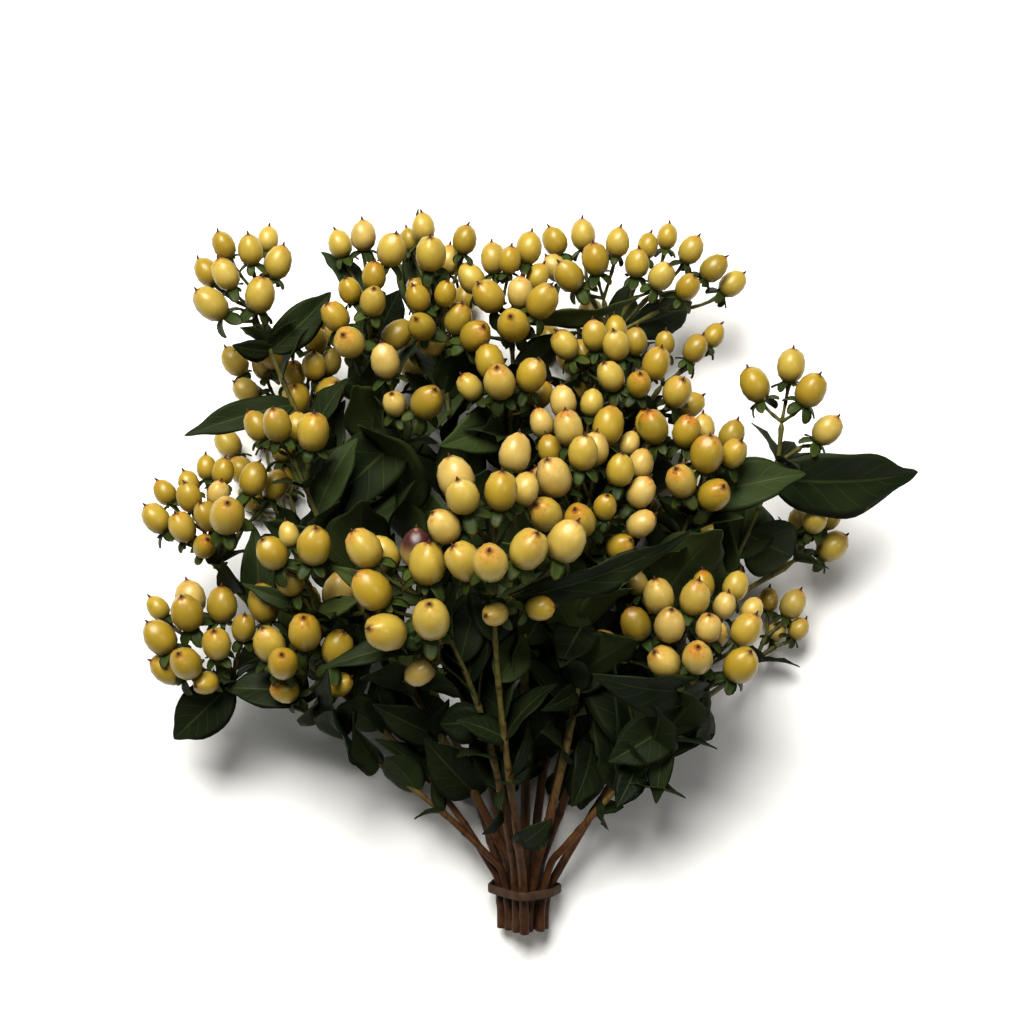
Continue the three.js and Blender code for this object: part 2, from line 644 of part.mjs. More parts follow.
// The point of a leaf's middle surface at s along it and c across it, from -1 to 1.
function leafPoint(leaf, s, c) {
  const length = leaf.tip.distanceTo(leaf.base);
  const half = ((leaf.width / 2) * leafOutline(s) + LEAF_FOOT * (1 - s)) * c;
  return leaf.base
    .clone()
    .lerp(leaf.tip, s)
    .addScaledVector(leaf.face, LEAF_ARCH * length * 4 * s * (1 - s) + LEAF_FOLD * Math.abs(half))
    .addScaledVector(leaf.side, half);
}

const samplesOf = (leaf, along) => along.flatMap((s) => ACROSS_SAMPLES.map((c) => leafPoint(leaf, s, c)));

// A leaf from base to tip whose upper face looks as nearly along face as it can, rolled by an angle.
function leafFrom(base, tip, width, face, roll) {
  const along = tip.clone().sub(base).normalize();
  const level = face.clone().addScaledVector(along, -face.dot(along)).normalize();
  const up = level.applyAxisAngle(along, roll);
  return { base, tip, width, face: up, side: new THREE.Vector3().crossVectors(up, along) };
}

// Whether sampled points of a leaf have room to the surface, to balls and to other leaves' samples.
function hasRoom(samples, balls, others) {
  return samples.every(
    (p) =>
      p.z - LEAF_CLEAR >= LEAF_ROOM &&
      balls.every((ball) => p.distanceTo(ball.p) - ball.radius >= LEAF_ROOM) &&
      others.every((q) => p.distanceTo(q) - LEAF_APART >= LEAF_ROOM),
  );
}

// The first way of setting a leaf, from as planned to smaller, lifted, swung and rolled, in which all of it
// has room to other stems' growth and its blade has room to its own stem's.
function settleLeaf({ base, tip, width, face, roll }, foreign, own, others) {
  const chord = tip.clone().sub(base);
  const reach = chord.length() + LEAF_WATCH;
  const isNear = (ball) => ball.p.distanceTo(base) < reach + ball.radius;
  const near = foreign.filter(isNear);
  const all = [...near, ...own.filter(isNear)];
  const close = others.filter((q) => q.distanceTo(base) < reach);
  const sideways = new THREE.Vector3().crossVectors(face, chord).normalize();
  for (const size of LEAF_SIZES) {
    for (const lift of LEAF_LIFTS) {
      for (const swing of LEAF_SWINGS) {
        const moved = chord.clone().addScaledVector(face, lift).addScaledVector(sideways, swing);
        moved.setLength(chord.length() * size).add(base);
        for (const extra of LEAF_ROLLS) {
          const turn = THREE.MathUtils.degToRad(roll + extra);
          const leaf = leafFrom(base, moved, width * size, face, turn);
          if (!hasRoom(samplesOf(leaf, BLADE_SAMPLES), all, close)) continue;
          if (hasRoom(samplesOf(leaf, BASE_SAMPLES), near, close)) return leaf;
        }
      }
    }
  }
  return null;
}

// The leaves: those placed by hand, then a pair by rule on each stem. One that finds no room isn't grown.
function growLeaves({ free, balls, stems }) {
  const leaves = [];
  const taken = stems.map(() => []);
  const wood = balls.filter(({ kind }) => kind === "wood");
  const settle = (plan, stem, ownKinds) => {
    const foreign = balls.filter((ball) => ball.stem !== stem);
    const own = balls.filter((ball) => ball.stem === stem && ownKinds.includes(ball.kind));
    const others = taken.flatMap((points, s) => (s === stem ? [] : points));
    return settleLeaf(plan, foreign, own, others);
  };
  const keep = (leaf, stem) => {
    if (!leaf) return;
    const length = leaf.tip.distanceTo(leaf.base);
    leaves.push({ ...leaf, stem, stations: leafStations(length), flat: length < LARGE_LEAF });
    taken[stem].push(...samplesOf(leaf, [...BASE_SAMPLES, ...BLADE_SAMPLES]));
  };
  const allKinds = ["wood", "pedicel", "berry"];
  LEAVES.forEach((spec) => {
    const wanted = place(spec.base);
    const root = wood.reduce((best, ball) =>
      ball.p.distanceTo(wanted) < best.p.distanceTo(wanted) ? ball : best,
    );
    const width = viewSize(spec.width, spec.base[2]);
    const plan = { base: root.p.clone(), tip: place(spec.tip), width, face: FRONT, roll: spec.turn };
    keep(settle(plan, root.stem, allKinds) ?? settle(plan, root.stem, []), root.stem);
  });
  stems.forEach(({ chain }, s) => {
    const i = Math.round(PAIR_AT * (chain.length - 1));
    const base = free[chain[i]].p;
    const along = free[chain[i + 1]].p.clone().sub(free[chain[i - 1]].p).normalize();
    const across = new THREE.Vector3().crossVectors(along, FRONT).normalize();
    for (const turn of [0, Math.PI]) {
      const out = across.clone().applyAxisAngle(along, turn + s * PAIR_TURN);
      const chord = out.multiplyScalar(PAIR_OUT).addScaledVector(along, PAIR_UP).setLength(PAIR_LENGTH);
      const plan = { base: base.clone(), tip: chord.add(base), width: PAIR_WIDTH, face: along, roll: 0 };
      const off = plan.tip.clone().sub(ORIGIN_SHIFT);
      if (Math.abs(off.x) > PAIR_REACH || off.dot(FRONT) > PAIR_DEPTH) continue;
      keep(settle(plan, s, allKinds), s);
    }
  });
  return leaves;
}

// ---- Solids ----
// A surface under construction: positions of its points, and its triangles as indices.
const newSurface = () => ({ position: [], faces: [] });

function addPoints(surface, points) {
  const first = surface.position.length / 3;
  points.forEach((p) => surface.position.push(p.x, p.y, p.z));
  return points.map((_, i) => first + i);
}

// Triangles between two rings of points, or a ring and one point, walking round both at once.
function stitch(faces, a, b) {
  let [i, j] = [0, 0];
  while (i < a.length || j < b.length) {
    const first = j >= b.length || (i < a.length && (i + 1) / a.length <= (j + 1) / b.length);
    if (first) {
      if (a.length > 1) faces.push(a[i % a.length], a[(i + 1) % a.length], b[j % b.length]);
      i++;
    } else {
      if (b.length > 1) faces.push(a[i % a.length], b[(j + 1) % b.length], b[j % b.length]);
      j++;
    }
  }
}

// Fills a flat ring. Its front is the side from which it is counted anticlockwise.
function fill(faces, row) {
  for (let i = 1; i + 1 < row.length; i++) faces.push(row[0], row[i], row[i + 1]);
}

// Carries the surface on from a row of its points through rings of new ones, and closes the last.
function carryOn(surface, row, rings) {
  let last = row;
  rings.forEach((points) => {
    const next = addPoints(surface, points);
    stitch(surface.faces, last, next);
    last = next;
  });
  fill(surface.faces, last);
}

function geometryFrom({ position, faces }) {
  const made = new THREE.BufferGeometry();
  made.setAttribute("position", new THREE.Float32BufferAttribute(position, 3));
  return made.setIndex(faces);
}

// A closed body through rings of points.
function skin(rings) {
  const surface = newSurface();
  const row = addPoints(surface, rings[0]);
  fill(surface.faces, [...row].reverse());
  carryOn(surface, row, rings.slice(1));
  return geometryFrom(surface);
}

// Two directions square to each other and to a third.
function squareTo(direction) {
  const guide = Math.abs(direction.x) < 0.8 ? ACROSS : ALONG;
  const e1 = guide.clone().addScaledVector(direction, -guide.dot(direction)).normalize();
  return [e1, new THREE.Vector3().crossVectors(direction, e1)];
}

// A ring of points of a radius about a centre, square to a direction, counted round it from an angle.
function ring(centre, direction, radius, sides, start = 0) {
  const [e1, e2] = squareTo(direction);
  return Array.from({ length: sides }, (_, i) => {
    const angle = start + (i / sides) * 2 * Math.PI;
    const across = e1.clone().multiplyScalar(radius * Math.cos(angle));
    return across.addScaledVector(e2, radius * Math.sin(angle)).add(centre);
  });
}

// Round wood of changing radius through a row of points.
function rod(points, radii, sides) {
  const rings = points.map((p, i) => {
    const [a, b] = [points[Math.max(0, i - 1)], points[Math.min(points.length - 1, i + 1)]];
    return ring(p, b.clone().sub(a).normalize(), radii[i], sides);
  });
  return skin(rings);
}

// The swollen knot where twigs part, which their ends are sunk in.
function knob(centre, direction, radius) {
  const end = direction.clone().multiplyScalar(radius);
  return skin([[centre.clone().sub(end)], ring(centre, direction, radius, 4), [centre.clone().add(end)]]);
}

const BERRY_RISE = 0.5; // how far a berry turns from its stalk's direction towards the crown
const BERRY_FRONT = 0.25; // and towards the front
const NECK_RADIUS = 0.85; // a pedicel where it meets its berry
const NECK_TURNS = 12; // ways of turning a pedicel's end that are tried

// The rings of a pedicel's end and its berry: three sides up to its base, turned to follow on from the row of
// points before it, five round the fruit, and a pointed dry tip.
function berryRings(before, knot, { p: centre, width }) {
  const stalk = centre.clone().sub(knot).normalize();
  const axis = stalk.addScaledVector(ALONG, BERRY_RISE).addScaledVector(FRONT, BERRY_FRONT).normalize();
  const length = width * BERRY_LENGTH_RATIO;
  const at = (share) => centre.clone().addScaledVector(axis, (share - 0.5) * length);
  const offset = at(0.02).sub(knot);
  const turns = Array.from({ length: NECK_TURNS }, (_, k) => {
    const neck = ring(at(0.02), axis, NECK_RADIUS, 3, (k / NECK_TURNS) * 2 * Math.PI);
    const miss = neck.reduce((sum, q, i) => sum + q.distanceToSquared(before[i].clone().add(offset)), 0);
    return { neck, miss };
  });
  const { neck } = turns.reduce((best, turn) => (turn.miss < best.miss ? turn : best));
  return [
    neck,
    ring(at(0.3), axis, width * 0.5, 5),
    ring(at(0.72), axis, width * 0.47, 5, Math.PI / 5),
    [at(1).addScaledVector(axis, STYLE_LENGTH)],
  ];
}

// A twig with up to three berries. It ends in a three-faced point, and a pedicel grows out of each face, so
// that the whole sprig is one surface.
function sprig(root, knot, berries) {
  const forward = knot.clone().sub(root).normalize();
  const [e1, e2] = squareTo(forward);
  const angles = berries.map(({ p }) => {
    const off = p.clone().sub(knot);
    return Math.atan2(off.dot(e2), off.dot(e1));
  });
  const order = berries.map((_, i) => i).sort((a, b) => angles[a] - angles[b]);
  const third = (2 * Math.PI) / 3;
  const lead = new THREE.Vector2();
  order.forEach((k, i) => {
    const turned = angles[k] - i * third;
    lead.add(new THREE.Vector2(Math.cos(turned), Math.sin(turned)));
  });
  const start = lead.angle() - third / 2;
  const surface = newSurface();
  const foot = ring(root, forward, TWIG_RADIUS * 1.1, 3, start);
  const end = ring(knot, forward, TWIG_RADIUS * 1.1, 3, start);
  const footRow = addPoints(surface, foot);
  fill(surface.faces, [...footRow].reverse());
  const endRow = addPoints(surface, end);
  stitch(surface.faces, footRow, endRow);
  const point = knot.clone().addScaledVector(forward, TWIG_RADIUS);
  const [pointRow] = addPoints(surface, [point]);
  for (let i = 0; i < 3; i++) {
    const row = [endRow[i], endRow[(i + 1) % 3], pointRow];
    if (i < berries.length) {
      const before = [end[i], end[(i + 1) % 3], point];
      carryOn(surface, row, berryRings(before, knot, berries[order[i]]));
    } else {
      fill(surface.faces, row);
    }
  }
  return geometryFrom(surface);
}

// A leaf blade of even thickness, alike on both faces, three points wide, or two on a shorter leaf. The rows
// of points run across the upper face and back across the lower one, and the tip has one point on each face.
function blade(leaf) {
  const half = LEAF_THICKNESS / 2;
  const across = leaf.flat ? [-1, 1] : [-1, 0, 1];
  const surface = newSurface();
  const rows = leaf.stations.map((s) => {
    const points = (s === 1 ? [0] : across).map((c) => leafPoint(leaf, s, c));
    const top = points.map((p) => p.clone().addScaledVector(leaf.face, half));
    const under = points.map((p) => p.clone().addScaledVector(leaf.face, -half)).reverse();
    return addPoints(surface, [...top, ...under]);
  });
  const wide = across.length;
  const { faces } = surface;
  const panel = (a, b, c, d, turned) => {
    if (turned) faces.push(a, d, b, b, d, c);
    else faces.push(a, d, c, a, c, b);
  };
  for (let r = 0; r + 2 < rows.length; r++) {
    const [near, far] = [rows[r], rows[r + 1]];
    for (let i = 0; i < 2 * wide; i++) {
      const next = (i + 1) % (2 * wide);
      panel(near[i], near[next], far[next], far[i], i % 2 === (i < wide ? 0 : wide % 2));
    }
  }
  const [last, tip] = rows.slice(-2);
  for (let i = 0; i + 1 < wide; i++) {
    faces.push(last[i], tip[0], last[i + 1]);
    faces.push(last[wide + i], tip[1], last[wide + i + 1]);
  }
  panel(last[wide - 1], last[wide], tip[1], tip[0], false);
  panel(last[2 * wide - 1], last[0], tip[0], tip[1], false);
  for (let i = 0; i + 1 < wide; i++) {
    const [a, b] = [rows[0][i], rows[0][i + 1]];
    const [c, d] = [rows[0][2 * wide - 2 - i], rows[0][2 * wide - 1 - i]];
    faces.push(a, b, c, a, c, d);
  }
  return geometryFrom(surface);
}

// A closed geometry as a solid.
function solid(geometry) {
  const bare = new THREE.BufferGeometry().setAttribute("position", geometry.getAttribute("position"));
  bare.setIndex(geometry.getIndex());
  const merged = mergeVertices(bare, 1e-4);
  const mesh = { numProp: 3, vertProperties: merged.attributes.position.array };
  mesh.triVerts = new Uint32Array(merged.index.array);
  return new wasm.Manifold(new wasm.Mesh(mesh));
}

// The rubber band: the tight loop round the stems' feet, as an upright ring of even thickness.
function band({ free, stems }) {
  const middle = place(CUT_END).addScaledVector(ALONG, BAND_HEIGHT);
  const reach = FOOT_RADIUS + BAND_CLEARANCE;
  const held = [];
  stems.forEach(({ chain }) => {
    for (const height of [-BAND_WIDTH / 2, BAND_WIDTH / 2]) {
      const i = chain.findIndex((f) => free[f].p.clone().sub(middle).dot(ALONG) > height);
      const [low, high] = [free[chain[i - 1]].p.clone().sub(middle), free[chain[i]].p.clone().sub(middle)];
      const share = (height - low.dot(ALONG)) / (high.dot(ALONG) - low.dot(ALONG));
      low.lerp(high, share);
      held.push(new THREE.Vector2(low.dot(ACROSS), low.dot(FRONT)));
    }
  });
  const touch = [];
  for (let i = 0; i < BAND_SIDES; i++) {
    const angle = (i / BAND_SIDES) * 2 * Math.PI;
    const look = new THREE.Vector2(Math.cos(angle), Math.sin(angle));
    const far = held.reduce((best, foot) => (foot.dot(look) > best.dot(look) ? foot : best));
    touch.push({ look, foot: far });
  }
  const corner = ({ foot, look }, out, up) =>
    middle
      .clone()
      .addScaledVector(ACROSS, foot.x + look.x * out)
      .addScaledVector(FRONT, foot.y + look.y * out)
      .addScaledVector(ALONG, up * (BAND_WIDTH / 2));
  const section = [[0, -1], [1, -1], [1, 1], [0, 1]];
  const position = [];
  const faces = [];
  touch.forEach((t, i) => {
    section.forEach(([out, up]) => position.push(...corner(t, reach + out * BAND_THICKNESS, up).toArray()));
    section.forEach((_, k) => {
      const [a, b] = [4 * i + k, 4 * i + ((k + 1) % 4)];
      const [c, d] = [a, b].map((v) => (v + 4) % (4 * BAND_SIDES));
      faces.push(a, b, d, a, d, c);
    });
  });
  return geometryFrom({ position, faces });
}

// One stem with all that grows on it, joined, and cut flat where it presses on the surface.
function leafyStem(stem, free, leaves) {
  const at = (f) => free[f].p;
  const last = stem.chain.length - 1;
  const isPicked = (i) => i === 2 || i === last || (i % 3 === 0 && i < last - 1);
  const picks = stem.chain.map((_, i) => i).filter(isPicked);
  const course = picks.map((i) => at(stem.chain[i]));
  const parts = [rod(course, picks.map((i) => stemRadius(i / last)), 5)];
  const top = at(stem.chain[last]);
  parts.push(knob(top, top.clone().sub(at(stem.chain[last - 1])).normalize(), KNOB_RADIUS));
  stem.branches.forEach(({ root, fork }) => {
    const along = at(fork).clone().sub(at(root)).normalize();
    parts.push(rod([at(root), at(fork)], [BRANCH_RADIUS * 1.1, BRANCH_RADIUS], 4));
    parts.push(knob(at(fork), along, KNOB_RADIUS));
  });
  stem.sprigs.forEach(({ fork, knot, berries }) => {
    const fruit = berries.filter(({ hidden }) => !hidden).map(({ f, width }) => ({ p: at(f), width }));
    if (fruit.length) parts.push(sprig(at(fork), at(knot), fruit));
  });
  leaves.forEach((leaf) => parts.push(blade(leaf)));
  const joined = wasm.Manifold.union(parts.map(solid)).trimByPlane([0, 0, 1], 0);
  return joined.simplify(JOIN_TOLERANCE);
}

// A solid back as a geometry that can be drawn.
function geometryOf(made) {
  const mesh = made.getMesh();
  const position = new Float32Array(mesh.numVert * 3);
  for (let i = 0; i < mesh.numVert; i++) {
    position.set(mesh.vertProperties.subarray(i * mesh.numProp, i * mesh.numProp + 3), i * 3);
  }
  const geometry = new THREE.BufferGeometry();
  geometry.setAttribute("position", new THREE.BufferAttribute(position, 3));
  geometry.setIndex(new THREE.BufferAttribute(mesh.triVerts, 1));
  return geometry;
}

// ---- The bunch ----
const layout = plant();
pushApart(layout);
const leaves = growLeaves(layout);
const bunch = new THREE.Group();
const addNode = (name, geometry, color, roughness) => {
  const mesh = new THREE.Mesh(geometry, new THREE.MeshStandardMaterial({ color, roughness, metalness: 0 }));
  mesh.name = name;
  bunch.add(mesh);
};
layout.stems.forEach((stem, s) => {
  const grown = leafyStem(stem, layout.free, leaves.filter((leaf) => leaf.stem === s));
  addNode(stem.name, geometryOf(grown), 0xb9a35a, 0.5);
});
addNode("rubber_band", band(layout), 0x6b5038, 0.8);

export default bunch;
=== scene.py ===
# %% [markdown]
# # A hand-tied bunch of hypericum berries
# Fifteen cut stems of a shrub, held by a rubber band and laid down on a table. Each carries paired leaves
# and forked heads of oval, cream-yellow berries with a dry dark tip and a collar of five small sepals.
#
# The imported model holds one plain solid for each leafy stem. This file grows the same fifteen stems again,
# from the same places, with round berries, curved veined leaves and barked wood, and hides the plain
# solids.

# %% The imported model
import math
from itertools import product

import bpy
import numpy as np
from mathutils import Matrix


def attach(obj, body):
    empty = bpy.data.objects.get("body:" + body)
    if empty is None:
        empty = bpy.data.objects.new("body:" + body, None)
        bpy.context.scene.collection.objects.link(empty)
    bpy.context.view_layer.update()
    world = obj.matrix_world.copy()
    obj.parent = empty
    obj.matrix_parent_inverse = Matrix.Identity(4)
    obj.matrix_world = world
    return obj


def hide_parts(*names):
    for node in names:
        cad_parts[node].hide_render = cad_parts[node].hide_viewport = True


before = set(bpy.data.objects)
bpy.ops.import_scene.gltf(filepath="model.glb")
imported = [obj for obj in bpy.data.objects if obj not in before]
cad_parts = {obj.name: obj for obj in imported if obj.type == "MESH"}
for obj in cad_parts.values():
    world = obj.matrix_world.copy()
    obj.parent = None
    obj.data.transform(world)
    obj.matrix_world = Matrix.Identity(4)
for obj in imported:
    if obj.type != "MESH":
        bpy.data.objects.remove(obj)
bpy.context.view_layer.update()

print("plain nodes:", len(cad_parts))

# %% [markdown]
# ## Where everything is
# A bunch is easiest to describe as it is seen from above: how far right, how far down, and how deep. So
# each place is [x, y, depth], with x and y in units of 0.35 mm at the bunch's middle plane and depth in
# millimetres in front of it. The eye is 600 mm off, so what stands in front is drawn a little larger. A
# lying bunch slopes from its cut ends up to its thick crown, and LEAN is that slope.

# %% Measures of the bunch, in millimetres
FOOT_RADIUS = 1.85
STEM_TIP_RADIUS = 1.15
BRANCH_RADIUS = 0.95
TWIG_RADIUS = 0.8
PEDICEL_RADIUS = 0.65
KNOB_RADIUS = 1.7
LEAST_BERRY = 7.4
MOST_BERRY = 12.4
BERRY_LENGTH_RATIO = 1.16
STYLE_LENGTH = 1.4
BAND_WIDTH = 3.0
BAND_THICKNESS = 1.1
BAND_HEIGHT = 14.0
BAND_CLEARANCE = 0.75
CLEARANCE = 0.55
STEM_PITCH = 2 * FOOT_RADIUS + 0.4
REST_PRESS = 0.8
WOOD_PRESS = 0.2

# %% The view that places are given in
MILLIMETRE = 0.001
IMAGE_SIZE = 1024
VIEW_UNIT = 0.35
VIEW_CENTRE = IMAGE_SIZE // 2
VIEW_DISTANCE = 600.0
LEAN = math.radians(15.2)
ORIGIN_SHIFT = np.array([-8.7, 14.4, 45.9])
ACROSS = np.array([1.0, 0.0, 0.0])
ALONG = np.array([0.0, math.cos(LEAN), math.sin(LEAN)])
FRONT = np.array([0.0, -math.sin(LEAN), math.cos(LEAN)])
CUT_END = [523, 928, 0]
CROWN_MIDDLE = [480, 440, 0]


def place(spots):
    """Places [x, y, depth] as points in millimetres: each is taken across, along and in front by its
    distance from the view's centre, times a unit that shrinks with nearness to the eye."""
    x, y, depth = np.moveaxis(np.asarray(spots, float), -1, 0)
    size = VIEW_UNIT * (VIEW_DISTANCE - depth) / VIEW_DISTANCE
    right, up = (x - VIEW_CENTRE) * size, (VIEW_CENTRE - y) * size
    return right[..., None] * ACROSS + up[..., None] * ALONG + depth[..., None] * FRONT + ORIGIN_SHIFT


def unit(vectors):
    """Each vector divided by its own length."""
    vectors = np.asarray(vectors, float)
    return vectors / np.linalg.norm(vectors, axis=-1, keepdims=True)


print("the cut ends are at", place(CUT_END).round(1))

# %% [markdown]
# ## The stems, as a gardener would list them
# For each stem: its name, its berries' usual colour, the places that pull its course, its heads, and how
# slim it gets. A head has a fork, a depth and its berries, each [x, y, width, millimetres in front of the
# head, if any]. A head at the back is a flat spiral of equal berries instead. Such a list could also be
# drawn at random, but then no head would have its own form.

# %% How the table is written
def leafy_stem(name, looks, via, *heads, slimming=(0.3, 1.5)):
    """A stem: its name, its berries' usual tone and blush, the places that pull its course, and its heads,
    the main one first. Slimming is the share of its radius that it loses up to its head, and the power by
    which it does: a power under 1 makes it slim soon after the foot."""
    return {"name": name, "looks": looks, "via": via, "heads": heads, "slimming": slimming}


def open_head(fork, depth, *berries, at=None):
    """A head with its berries one by one. A side head leaves the stem at a share of the stem's length."""
    return {"fork": fork, "depth": depth, "berries": berries, "at": at}


def hidden_head(fork, depth, centre, reach, width, at):
    """A side head at the back: equal berries in a spiral round a centre, out to a reach."""
    return {"fork": fork, "depth": depth, "spiral": (centre, reach, width), "at": at}


